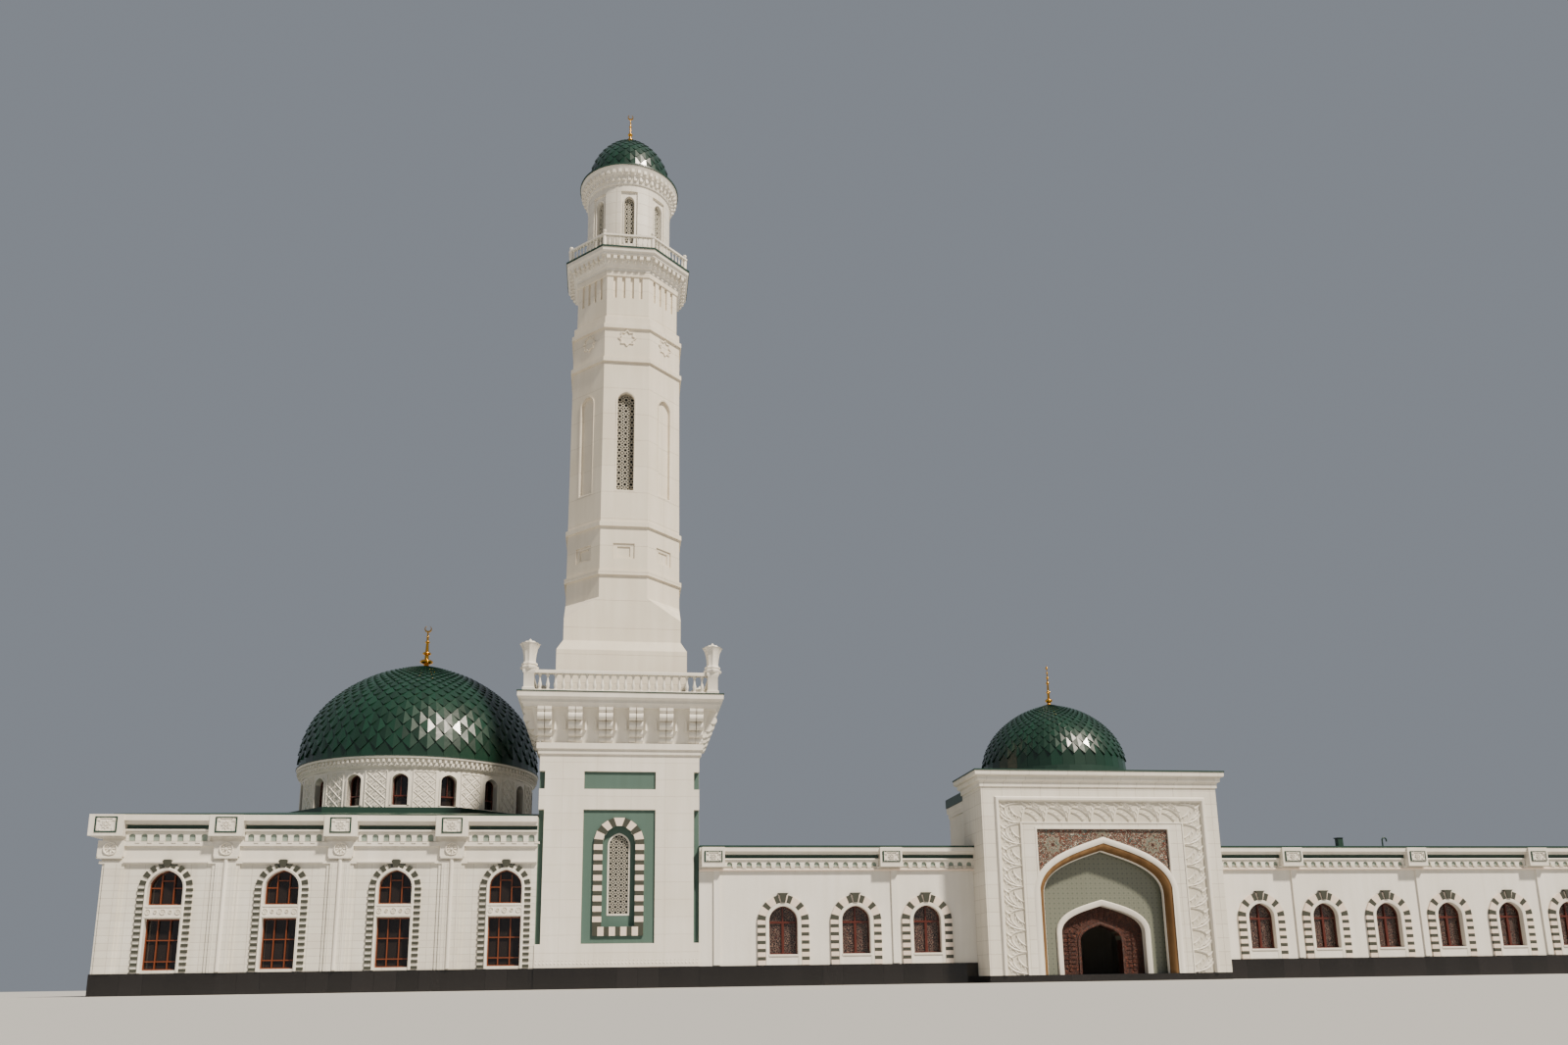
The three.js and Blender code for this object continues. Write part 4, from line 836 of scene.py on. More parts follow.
def stripes(piece: Piece, place: Place, path: Sequence[Point], width: float, depth: Point, pitch: float,
            finishes: Sequence[Optional[Finish]], share: float = 0.5) -> None:
    """Sets blocks side by side along a line, in turn in two finishes.

    Args:
        piece: Where they are added.
        place: Where they are drawn.
        path: The inner line, with the blocks on its left.
        width: How far the blocks reach from the line.
        depth: Their back and front.
        pitch: About the length of one pair of blocks.
        finishes: First and second finish; None leaves a gap.
        share: The first block's share of the pair.
    """
    lengths = [0.0]
    for a, b in zip(path, path[1:]):
        lengths.append(lengths[-1] + math.dist(a, b))
    total = lengths[-1]
    pairs = max(1, round(total / pitch - share))
    step = total / (pairs + share)

    def at(s: float) -> tuple[Vector, Vector]:
        """Follows the line.

        Args:
            s: Length along it.

        Returns:
            The point there, and the direction to the line's left.
        """
        i = min(max(0, sum(1 for length in lengths if length <= s) - 1), len(path) - 2)
        a, b = Vector(path[i]), Vector(path[i + 1])
        way = (b - a).normalized()
        return a + way * (s - lengths[i]), Vector((-way.y, way.x))

    for number in range(2 * pairs + 1):
        finish = finishes[number % 2]
        start = (number // 2) * step + (share * step if number % 2 else 0.0)
        end = min(total, start + step * (1 - share if number % 2 else share))
        if finish is None or end - start < 1e-4:
            continue
        (p, n), (q, m) = at(start + 1e-4), at(end - 1e-4)
        outline = [p, q, q + m * width, p + n * width]
        piece.plate(place, [(c.x, c.y) for c in outline[::-1]], depth[0], depth[1], finish)


def lattice(piece: Piece, place: Place, arch: Arch, cell: float, bar: float, depth: Point) -> None:
    """Fills an arch with a pierced stone screen of eight-pointed stars and crosses.

    Args:
        piece: Where it is added.
        place: Where it is drawn.
        arch: The opening that it fills.
        cell: Size of one star's square.
        bar: Width of the stone bars.
        depth: Their back and front.
    """
    across = max(1, round(2 * arch.half / cell))
    size = 2 * arch.half / across
    rows = int((arch.spring + arch.rise - arch.bottom) / size) + 1
    for row in range(rows):
        for column in range(across):
            u = -arch.half + size * (column + 0.5)
            v = arch.bottom + size * (row + 0.5)
            if not arch.holds(u, v, -0.3 * size):
                continue
            here = moved(place, u, v)
            ring, hole = (star(size * 0.46 - width, size * 0.3 - width, 8, math.pi / 8)
                          for width in (0, bar))
            # The bars' grey holds painted shade of the recess the screen stands in.
            piece.plate(here, ring, *depth, SCREEN_STONE_PAINTED_SHADE, [hole])
            for eighth in range(8):
                reach = (size * 0.4, size * 0.71) if eighth % 2 else (size * 0.27, size * 0.5)
                arm = moved(here, angle=eighth * math.pi / 4)
                piece.block(arm, reach, around(0, bar / 2), depth, SCREEN_STONE_PAINTED_SHADE)


def rosette(piece: Piece, place: Place, radius: float, height: float, petals: int) -> None:
    """Carves a round flower with a raised rim, petals and a button.

    Args:
        piece: Where it is added.
        place: Its middle.
        radius: Its outer radius.
        height: How far it stands out.
        petals: Number of petals.
    """
    rim = [(-0.14 * radius, 0.0), (-0.1 * radius, height), (0.0, height), (0.0, 0.0)]
    piece.sweep(place, circle(radius, 24)[::-1], rim, closed=True)
    for i in range(petals):
        turned = moved(place, angle=2 * math.pi * i / petals)
        outline = ((0.2, 0.0), (0.5, -0.17), (0.76, -0.1), (0.84, 0.0), (0.76, 0.1), (0.5, 0.17))
        base = [turned(u * radius, v * radius, 0.0) for u, v in outline]
        piece.add([*base, turned(0.55 * radius, 0.0, height)], [(i, (i + 1) % 6, 6) for i in range(6)])
    piece.plate(place, circle(0.17 * radius, 10), 0.0, height)


# The building's parts.


# The corners of one folded dome tile: columns across, rows up, and height as a share of the tile's lift.
TILE_FOLD = ((-0.5, 0, 0.3), (0.0, -1, 1.25), (0.5, 0, 0.3), (0.0, 1, 0.55), (-0.5, 0, -0.4),
             (0.0, -1, -0.2), (0.5, 0, -0.4))


@dataclass(frozen=True)
class TiledDome:
    """A pointed dome clad in folded lozenge tiles that shrink towards the tip."""

    node: str
    x: float
    y: float
    foot: float
    top: float
    radius: float
    columns: int
    plain_foot: float
    lift: float = 0.08
    squeeze: float = 0.52
    cap_steps: int = 40
    profile_steps: int = 240
    bare_tip: float = 0.1

    def profile(self) -> list[Spot]:
        """Follows the dome's outer line from the foot to the tip.

        Returns:
            Radius, height and length along the surface, point by point.
        """
        height = self.top - self.foot
        controls = [(self.radius, self.foot), (self.radius * 1.03, self.foot + 0.62 * height),
                    (self.radius * 0.42, self.foot + 0.9 * height), (0.0, self.top)]
        line, run = [], 0.0
        for i in range(self.profile_steps + 1):
            r, z = cubic(controls, i / self.profile_steps)
            if line:
                run += math.dist((r, z), line[-1][:2])
            line.append((r, z, run))
        return line

    def build(self) -> None:
        """Lays the foot panels, the tiles row by row, and the cap under the finial."""
        line = self.profile()
        piece = Piece(self.node + "_tiles", Slot.DOME)

        def at(column: float, length: float, out: float) -> Spot:
            """Finds a point on the dome.

            Args:
                column: Columns round from the front.
                length: Length up the surface.
                out: Height above the surface.

            Returns:
                The point.
            """
            i = next((k for k in range(1, len(line)) if line[k][2] >= length), len(line) - 1)
            (r0, z0, s0), (r1, z1, s1) = line[i - 1], line[i]
            share = (length - s0) / (s1 - s0)
            r, z = r0 + (r1 - r0) * share, z0 + (z1 - z0) * share
            r, z = r + out * (z1 - z0) / (s1 - s0), z - out * (r1 - r0) / (s1 - s0)
            angle = 2 * math.pi * column / self.columns
            return self.x + r * math.sin(angle), self.y - r * math.cos(angle), z

        def radius_at(length: float) -> float:
            """Returns the dome's radius at a length up the surface."""
            return next((r for r, _, s in line if s >= length), 0.0)

        levels = [self.plain_foot]
        while radius_at(levels[-1]) > self.bare_tip * self.radius:
            levels.append(levels[-1] + self.squeeze * 2 * math.pi * radius_at(levels[-1]) / self.columns)
        for column in range(self.columns):
            panel = [at(column - 0.49, 0.0, 0.03), at(column + 0.49, 0.0, 0.03),
                     at(column + 0.49, levels[1], 0.015), at(column - 0.49, levels[1], 0.015)]
            piece.add(panel, [(0, 1, 2, 3)], DOME_TILE)
        for row in range(1, len(levels) - 1):
            lift = self.lift * min(1.0, 2.5 * radius_at(levels[row]) / self.radius)
            for number in range(self.columns):
                column = number + 0.5 * (row % 2)
                corners = [at(column + step, levels[row + up], out * lift) for step, up, out in TILE_FOLD]
                piece.add(corners, [(0, 1, 3), (1, 2, 3), (4, 5, 1, 0), (5, 6, 2, 1)], DOME_TILE)
        cap = [s for _, _, s in line if s > levels[-2]][::6]
        count = self.cap_steps
        points = [at(self.columns * i / count, s, 0.03) for s in [levels[-2], *cap] for i in range(count)]
        piece.add(points, grid(len(cap) + 1, count), DOME_TILE)
        piece.build(smooth=0.5)


@dataclass(frozen=True)
class Finial:
    """A gilded finial: a flared foot, balls threaded on a tapering rod, and a crescent."""

    node: str
    x: float
    y: float
    foot: float
    top: float
    width: float
    crescent: bool = True
    balls: tuple = ((0.17, 0.95, 0.055), (0.36, 0.62, 0.04), (0.62, 0.34, 0.03), (0.74, 0.22, 0.018))
    steps: int = 110
    rod_top: float = 0.84

    def radius_at(self, share: float) -> float:
        """Finds how thick the finial is.

        Args:
            share: Share of the height, 0 to 1.

        Returns:
            The radius there.
        """
        rod = 0.34 * (1 - share) + 0.05
        flare = max(0.0, 1.0 - share / 0.1) ** 1.6
        bell = 0.5 * max(0.0, 1 - abs(share - 0.47) / 0.12) ** 0.5 * (0.62 - share) * 2.2
        swell = [r * math.sqrt(max(0.0, 1 - ((share - at) / h) ** 2)) for at, r, h in self.balls]
        return self.width * max(rod if share < 0.97 else 0.02, 0.36 + 0.64 * flare if share < 0.1 else 0,
                                bell, *swell)

    def build(self) -> None:
        """Turns the rod with its balls and sets the crescent on top."""
        piece = Piece(self.node + "_gilded", Slot.GILDED)
        height = self.top - self.foot
        turned_to = self.rod_top if self.crescent else 1.0
        profile = [(self.radius_at(i / self.steps * turned_to), self.foot + height * i / self.steps
                    * turned_to) for i in range(self.steps + 1)]
        piece.lathe(self.x, self.y, [*profile, (0.001, profile[-1][1] + 0.01)], 28, GILDING)
        if self.crescent:
            outer = 0.078 * height
            rim = [(outer * math.sin(a), -outer * math.cos(a)) for a in
                   [math.radians(-152 + 304 * i / 24) for i in range(25)]]
            inner = [(0.74 * outer * math.sin(a), 0.2 * outer - 0.74 * outer * math.cos(a)) for a in
                     [math.radians(150 - 300 * i / 24) for i in range(25)]]
            for turn in (0.0, math.pi):
                side = moved(on_wall(self.x, self.y, turn), 0.0, self.top - outer * 1.02, 0.0)
                piece.plate(side, rim + inner, 0.0, 0.02 * height / 2, GILDING)
        piece.build(replaces=[self.node], smooth=50)


def baluster(piece: Piece, x: float, y: float, foot: float, top: float, radius: float) -> None:
    """Turns one baluster: square-edged ends, a vase-shaped belly and a thin neck.

    Args:
        piece: Where it is added.
        x: Its axis's place across.
        y: Its axis's place to the back.
        foot: Height of its lower end.
        top: Height of its upper end.
        radius: Radius of the belly.
    """
    shares = [(0.0, 0.9), (0.07, 0.9), (0.1, 0.55), (0.2, 0.8), (0.34, 1.0), (0.5, 0.62), (0.66, 0.42),
              (0.82, 0.5), (0.88, 0.85), (1.0, 0.85)]
    piece.lathe(x, y, [(radius * r, foot + (top - foot) * h) for h, r in shares], 8)


def along(plan: Sequence[Point], margin: float, count: int) -> list[Point]:
    """Spreads points evenly along the sides of a closed plan.

    Args:
        plan: Corners of the plan.
        margin: Length left clear at each corner.
        count: Number of points on each side.

    Returns:
        The points.
    """
    spots = []
    for i, a in enumerate(plan):
        b = plan[(i + 1) % len(plan)]
        length = math.dist(a, b)
        for k in range(count):
            share = (margin + (length - 2 * margin) * (k + 0.5) / count) / length
            spots.append((a[0] + (b[0] - a[0]) * share, a[1] + (b[1] - a[1]) * share))
    return spots


@dataclass(frozen=True)
class TowerFoot:
    """The square foot of the minaret: green recesses, the striped window and its pierced screen."""

    half: float = 3.5
    notch: float = 0.24
    recess_half: float = 1.57
    recess_depth: float = 0.1
    low: Point = (1.88, 7.66)
    high: Point = (8.57, 9.36)
    window: Arch = Arch(0.7, 2.6, 6.22, 0.74)
    screen: Arch = Arch(0.47, 3.1, 6.1, 0.54)
    screen_depth: float = 0.3
    stripe_width: float = 0.38
    stripe_pitch: float = 0.45
    plinth_top: float = 0.88
    studs: int = 44
    stud_rows: tuple = ((1.06, 0.055), (1.19, 0.028))

    def build(self) -> None:
        """Dresses the foot and adds its painted panels, its window, the studs and the plinth's granite."""
        dress(FOOT_RENDER, "tower_base")
        dress(SHADOW, "tower_lattice")
        self.paint_recesses()
        self.set_window()
        self.carve_border()
        self.face_plinth()

    def paint_recesses(self) -> None:
        """Lines the recesses and the corner notches with green paint."""
        piece = Piece("tower_green_panels")
        for number, wall in enumerate(sides_round(4)):
            back = self.half - self.recess_depth
            spans = [self.high] + ([self.low] if number == 0 else [])
            for v in spans:
                holes = [self.window.grown(0.02).path()] if v == self.low else []
                outline = rectangle(-self.recess_half + 0.01, self.recess_half - 0.01, v[0] + 0.01,
                                    v[1] - 0.01)
                piece.plate(wall, outline, back + 0.001, back + 0.008, GREEN_PAINT, holes)
            for v in (self.low, self.high):
                for end in (-1, 1):
                    edges = sorted((end * (self.half - self.notch), end * (self.half - 0.004)))
                    depth = self.half - self.notch
                    piece.block(wall, tuple(edges), (v[0] + 0.01, v[1] - 0.01), (depth, depth + 0.008),
                                GREEN_PAINT)
        piece.build()

    def set_window(self) -> None:
        """Frames the tall window with striped blocks and fills it with the pierced screen."""
        wall = on_wall(0, -self.half)
        face = -self.recess_depth + 0.06
        edge = self.window.grown(0.01, 0.01)
        outer = edge.grown(self.stripe_width, self.stripe_width)
        piece = Piece("tower_window_surround")
        depth = (face - 0.02, face + 0.05)
        for path in (edge.path(), [(outer.half, edge.bottom), (-outer.half, edge.bottom)]):
            stripes(piece, wall, path, self.stripe_width, depth, self.stripe_pitch,
                    (GREEN_STONE, ROSE_STONE), 0.46)
        piece.sweep(wall, edge.path(), [(-0.02, -self.screen_depth), (-0.02, face + 0.01),
                                        (0.0, face + 0.01)], GREEN_PAINT, closed=True)
        piece.plate(wall, edge.path(), -self.screen_depth - 0.02, -self.screen_depth, GREEN_PAINT,
                    [self.screen.path()])
        piece.build()
        screen = Piece("tower_window_screen", Slot.LATTICE)
        lattice(screen, wall, self.screen, 0.24, 0.023, (-0.38, -0.33))
        screen.sweep(wall, self.screen.path(), [(-0.05, -0.36), (-0.05, -0.29), (0.02, -0.29)], closed=True)
        screen.build()

    def face_plinth(self) -> None:
        """Faces the plinth with granite, in front and behind, where it stands clear of hall and wing."""
        piece = Piece("tower_plinth_facing")
        half, top = self.half, self.plinth_top
        piece.block(on_wall(0, -half), (-half - 0.005, half + 0.005), (0.005, top + 0.01), (0.0, 0.085),
                    GRANITE)
        piece.block(on_wall(0, half, math.pi), (-half, -0.535), (0.005, top), (0.0, 0.05), GRANITE)
        piece.block(on_wall(half, 0, math.pi / 2), (3.125, half + 0.05), (0.005, top), (0.0, 0.05), GRANITE)
        piece.build()

    def carve_border(self) -> None:
        """Sets a row of small pyramid studs above the plinth."""
        piece = Piece("tower_stud_border")
        wall = on_wall(0, -self.half)
        for i in range(self.studs):
            u = -self.half + 2 * self.half * (i + 0.5) / self.studs
            for v, size in self.stud_rows:
                spots = [wall(u - size, v, 0), wall(u, v - size, 0), wall(u + size, v, 0),
                         wall(u, v + size, 0), wall(u, v, 0.03)]
                piece.add(spots, [(0, 1, 4), (1, 2, 4), (2, 3, 4), (3, 0, 4)])
        piece.build(smooth=5)


@dataclass(frozen=True)
class TowerCornice:
    """The corbel table, slab and balustrade that carry the terrace of the minaret."""

    foot: float = 10.1
    half: float = 3.5
    table_top: float = 12.1
    table_half: float = 4.2
    slab_half: float = 4.51
    slab_top: float = 12.76
    corbels: int = 6
    pitch: float = 1.33
    roll_width: float = 0.29
    niche: Arch = Arch(0.2, 11.15, 11.5, 0.3, steps=5)
    rail_line: float = 4.05
    rail_top: float = 13.77
    vase_top: float = 15.21
    balusters: int = 22

    def build(self) -> None:
        """Builds the corbel table and the balustrade in place of the plain solids."""
        self.build_table()
        self.build_balustrade()

    def corbel_section(self) -> list[Point]:
        """Draws the side outline of one scroll corbel.

        Returns:
            Reach from the wall and height, point by point.
        """
        low, high = self.foot + 0.5, self.table_top
        reach = self.slab_half - 0.2 - self.half
        rolls = [(0.13, 0.12, 0.11), (0.34, 0.3, 0.12), (0.62, 0.52, 0.15), (0.9, 0.74, 0.13)]
        section = [(0.0, low)]
        for out, share, radius in rolls:
            middle = (reach * out - radius * 0.4, low + (high - low) * share)
            section += [(middle[0] + radius * math.cos(a), middle[1] + radius * 1.2 * math.sin(a))
                        for a in [math.radians(-80 + 32 * k) for k in range(6)]]
        return [*section, (reach, high - 0.12), (reach, high), (0.0, high)]

    def build_table(self) -> None:
        """Builds mouldings, the sloping table with its small niches, the corbels and the slab."""
        piece = Piece("tower_corbel_table")
        half, table = self.half, self.table_half - 0.28 - self.half
        high = self.table_top
        plan, out, edge = square(half), self.slab_half - half, self.slab_top - 0.04
        base = [(0, 0), (0.08, 0.02), (0.08, 0.2), (0.16, 0.24), (0.16, 0.5), (0.03, 0.52)]
        girdle(piece, plan, [*shifted(base, 0, self.foot), (table, high), (out - 0.28, high)])
        slab = [(-0.28, 0), (-0.26, 0.08), (-0.16, 0.18), (-0.16, 0.3), (-0.05, 0.36), (0, 0.4)]
        girdle(piece, plan, [*shifted(slab, out, high), (out, edge)])
        girdle(piece, plan, [(out, edge), (out + 0.03, edge), (out + 0.03, self.slab_top),
                             (-1.0, self.slab_top)], GREEN_SHEET)
        section = self.corbel_section()
        n = len(section)
        for wall in sides_round(4):
            for number in range(self.corbels):
                middle = (number - (self.corbels - 1) / 2) * self.pitch
                for end in (-1, 1):
                    centre = middle + end * (self.roll_width / 2 + 0.015)
                    roll = [wall(u, z, half + w - 0.02) for u in around(centre, self.roll_width / 2)
                            for w, z in section]
                    piece.add(roll, [*[(k, n + k, n + k + 1, k + 1) for k in range(n - 1)],
                                     tuple(range(n)), tuple(range(2 * n - 1, n - 1, -1))])
                if number < self.corbels - 1:
                    slope = moved(wall, middle + self.pitch / 2, 0.0, half + table * 0.5)
                    piece.sweep(slope, self.niche.path(),
                                [(-0.03, -0.05), (-0.03, 0.1), (0.05, 0.13), (0.05, -0.05)])
        piece.build(replaces=["tower_cornice"])

    def build_balustrade(self) -> None:
        """Builds rails, turned balusters, corner posts and the tulip vases on them."""
        piece = Piece("tower_terrace_balustrade")
        foot, line = self.slab_top, self.rail_line
        for low, high, out in ((foot, foot + 0.13, 0.14), (self.rail_top - 0.15, self.rail_top, 0.16)):
            girdle(piece, square(line), [(-out, low), (out, low), (out, high - 0.03), (out - 0.04, high),
                                         (0.04 - out, high), (-out, high - 0.03), (-out, low)])
        for x, y in along(square(line), 0.3, self.balusters):
            baluster(piece, x, y, foot + 0.12, self.rail_top - 0.14, 0.085)
        for x, y in square(line):
            girdle(piece, square(0.22, x, y), [*shifted([(0.05, 0), (0.05, 0.16), (0, 0.2)], 0, foot),
                                               *shifted([(0, -0.2), (0.05, -0.12), (0.05, 0), (-0.22, 0)], 0,
                                                        self.rail_top)])
            height = self.vase_top - self.rail_top
            body = [(0.0, 0.0), (0.36, 0.0), (0.4, 0.04), (0.4, 0.09), (0.31, 0.13), (0.36, 0.17),
                    (0.34, 0.22), (0.27, 0.25), (0.26, 0.32), (0.28, 0.5), (0.33, 0.7), (0.42, 0.84),
                    (0.47, 0.88), (0.3, 0.88), (0.26, 0.96), (0.1, 0.99), (0.0, 1.08)]
            piece.lathe(x, y, [(r, self.rail_top + height * h * 0.925) for r, h in body], 32, lobes=8,
                        depth=0.14)
        piece.build(replaces=["tower_balustrade"])


@dataclass(frozen=True)
class Shaft:
    """The octagonal shaft: render with level joints, sunk arches, a pierced window and stars."""

    apothem_low: float = 2.69
    apothem_mid: float = 2.62
    low: float = 17.7
    high: float = 32.2
    arch: Arch = Arch(0.44, 23.04, 27.7, 0.49)
    arch_depth: float = 0.15
    sunk_square: Point = (19.63, 20.38)
    star_height: float = 31.05
    star_radius: float = 0.45
    neck_apothem: float = 2.48
    neck_foot: float = 34.5

    def apothem(self, height: float) -> float:
        """Returns how far the flat faces lie from the axis at a height."""
        growth, rise = self.apothem_mid - self.apothem_low, height - self.low
        return self.apothem_low + growth * rise / (self.high - self.low)

    def build(self) -> None:
        """Dresses the shaft and adds the screen, the arch edges, the stars and the neck moulding."""
        dress(SHAFT_RENDER, "tower_pedestal", "tower_shaft", "tower_upper_shaft")
        dress(SHADOW, "tower_shaft_lattice")
        screen = Piece("shaft_window_screen", Slot.LATTICE)
        wall = on_wall(0, -self.apothem(self.arch.spring) + self.arch_depth)
        lattice(screen, wall, self.arch, 0.3, 0.027, (-0.16, -0.12))
        screen.build()
        trim = Piece("shaft_arch_edges_and_stars", Slot.SHAFT)
        for face in sides_round(8):
            depth = self.apothem(self.arch.spring) - 0.02
            trim.sweep(face, self.arch.path(), [(-0.035, depth - 0.14), (-0.035, depth + 0.035),
                                                (0.03, depth + 0.05), (0.03, depth)], SHAFT_RENDER,
                       closed=True)
            here = moved(face, 0.0, self.star_height, self.apothem(self.star_height))
            outline = star(self.star_radius, self.star_radius * 0.72, 8)
            inner = star(self.star_radius * 0.86, self.star_radius * 0.6, 8)
            trim.plate(here, outline, -0.03, 0.05, SHAFT_RENDER, [inner])
            (low, high), depth = self.sunk_square, self.apothem(self.sunk_square[0])
            trim.plate(face, rectangle(-0.495, 0.495, low + 0.005, high - 0.005), depth - 0.13, depth - 0.06,
                       SHAFT_RENDER, [rectangle(-0.3, 0.3, low + 0.1, high - 0.15)])
        neck = shifted([(0, 0), (0.05, 0.02), (0.07, 0.25)], 0, self.neck_foot)
        girdle(trim, octagon(self.neck_apothem), neck, SHAFT_RENDER)
        trim.build()


@dataclass(frozen=True)
class Balcony:
    """The balcony: stepped mouldings, a row of small scroll brackets and a turned balustrade."""

    foot: float = 34.75
    floor_top: float = 35.84
    rail_top: float = 36.55
    well: float = 1.85
    neck: float = 2.5
    reach: float = 3.08
    rail: float = 2.92
    brackets: int = 7
    bracket_pitch: float = 0.325
    scrolls: tuple = ((0.09, 0.48, 0.68, 0.2, 0.44, 0.0), (0.055, 0.32, 0.5, 0.15, 0.33, 0.01))
    balusters: int = 9

    def build(self) -> None:
        """Builds the floor with its brackets and the balustrade in place of the plain solids."""
        floor = Piece("balcony_floor_mouldings")
        neck, reach = self.neck, self.reach - self.neck
        edge = self.foot + 1.0
        girdle(floor, octagon(self.well), [(0.0, self.foot), (neck - self.well, self.foot)])
        steps = [(0, 0), (0.06, 0.03), (0.06, 0.16), (0.14, 0.2), (0.16, 0.27), (0.2, 0.3), (0.3, 0.66),
                 (0.46, 0.68), (0.48, 0.78), (reach - 0.02, 0.84), (reach, 1.0)]
        girdle(floor, octagon(neck), shifted(steps, 0, self.foot))
        girdle(floor, octagon(neck), [(reach, edge), (reach + 0.03, edge), (reach + 0.03, self.floor_top),
                                      (-0.7, self.floor_top)], GREEN_SHEET)
        for wall in sides_round(8):
            for number in range(self.brackets):
                u = (number - (self.brackets - 1) / 2) * self.bracket_pitch
                for half, low, high, back, front, taper in self.scrolls:
                    floor.block(wall, around(u, half), (self.foot + low, self.foot + high),
                                (neck + back, neck + front), taper=taper)
        floor.build(replaces=["balcony_floor"])
        fence = Piece("balcony_turned_balustrade")
        for low, high, out in ((self.floor_top, self.floor_top + 0.08, 0.07),
                               (self.rail_top - 0.09, self.rail_top, 0.08)):
            band = [(-out, low), (out, low), (out, high), (-out, high), (-out, low)]
            girdle(fence, octagon(self.rail), band)
        for x, y in along(octagon(self.rail), 0.15, self.balusters):
            baluster(fence, x, y, self.floor_top + 0.07, self.rail_top - 0.08, 0.045)
        for x, y in octagon(self.rail * 0.985):
            ball = [(0.1, 0.0), (0.1, 0.76), (0.05, 0.79), (0.09, 0.86), (0.1, 0.9), (0.08, 0.95),
                    (0.0, 1.0)]
            fence.lathe(x, y, [(r, self.floor_top + h * 0.98) for r, h in ball], 10)
        fence.build(replaces=["balcony_balustrade"])


def drum_wall(piece: Piece, place: Place, u: Point, v: Point, w: Point, steps: int,
              finish: Finish = CARVED_MARBLE) -> None:
    """Adds a curved stretch of wall on a drum.

    Args:
        piece: Where it is added.
        place: Where it is drawn.
        u: From and to round the drum.
        v: From and to upwards.
        w: Its back and its front.
        steps: Number of flat parts.
        finish: Its finish.
    """
    for k in range(steps):
        start, end = (u[0] + (u[1] - u[0]) * i / steps for i in (k, k + 1))
        corners = [place(across, height, out) for height in v
                   for across, out in ((start, w[0]), (end, w[0]), (end, w[1]), (start, w[1]))]
        faces = [(3, 2, 6, 7), (4, 7, 6, 5), (0, 1, 2, 3)]
        faces += [(0, 3, 7, 4)] if k == 0 else []
        faces += [(2, 1, 5, 6)] if k == steps - 1 else []
        piece.add(corners, faces, finish)


@dataclass(frozen=True)
class Lantern:
    """The round lantern: sunk panels with arched screens, under a bracketed cornice."""

    radius: float = 2.15
    foot: float = 35.84
    top: float = 40.0
    cornice_top: float = 41.0
    cornice_radius: float = 2.57
    bays: int = 8
    brackets: int = 48
    panel_half: float = 0.42
    panel: Point = (36.5, 39.63)
    arch: Arch = Arch(0.27, 36.7, 39.0, 0.35, steps=6)

    def build(self) -> None:
        """Builds the drum, its screens and the cornice in place of the plain solids."""
        piece = Piece("lantern_drum_carved")
        drum = on_drum(0, 0, self.radius)
        bay = 2 * math.pi * self.radius / self.bays
        for number in range(self.bays):
            here = moved(drum, number * bay)
            drum_wall(piece, here, (self.panel_half, bay - self.panel_half), (self.foot, self.top),
                      (-0.2, 0.0), 8, MARBLE)
            for v in ((self.foot, self.panel[0]), (self.panel[1], self.top)):
                drum_wall(piece, here, (-self.panel_half, self.panel_half), v, (-0.2, 0.0), 6, MARBLE)
            outline = rectangle(-self.panel_half, self.panel_half, *self.panel)
            piece.plate(here, outline, -0.1, -0.08, holes=[self.arch.path()])
            piece.sweep(here, self.arch.path(), [(0.0, -0.3), (0.0, -0.04), (0.045, -0.04), (0.045, -0.09)])
        r, z = self.radius, self.top
        section = [(0, 0), (0.06, 0.02), (0.08, 0.1), (0.05, 0.14), (0.14, 0.44), (0.2, 0.46), (0.22, 0.6),
                   (0.36, 0.78), (0.38, 0.9)]
        piece.lathe(0, 0, shifted(section, r, z), 96)
        edge = [(r + 0.38, z + 0.9), (self.cornice_radius, z + 0.9), (self.cornice_radius, z + 0.98),
                (r - 0.1, self.cornice_top)]
        piece.lathe(0, 0, edge, 96, GREEN_SHEET)
        for row, (low, high, back, front) in enumerate(((0.16, 0.4, 0.05, 0.17), (0.5, 0.72, 0.16, 0.34))):
            for i in range(self.brackets):
                u = 2 * math.pi * self.radius * (i + 0.5 * row) / self.brackets
                piece.block(drum, around(u, 0.085), (z + low, z + high), (back, front), taper=0.02)
        piece.build(replaces=["lantern_drum"])
        screens = Piece("lantern_screens", Slot.LATTICE)
        for number in range(self.bays):
            lattice(screens, moved(drum, number * bay), self.arch, 0.27, 0.025, (-0.27, -0.22))
        screens.build()
        dress(SHADOW, "lantern_lattice")


def keystone(piece: Piece, place: Place, corners: Sequence[Point], front: float) -> None:
    """Sets a keystone of green stone over a window.

    Args:
        piece: Where it is added.
        place: The window's place.
        corners: Corners of its right half, the lowest first.
        front: How far it stands out.
    """
    left = [(-u, v) for u, v in corners]
    piece.plate(place, [left[0], *corners, *left[:0:-1]], 0.0, front, GREEN_STONE)


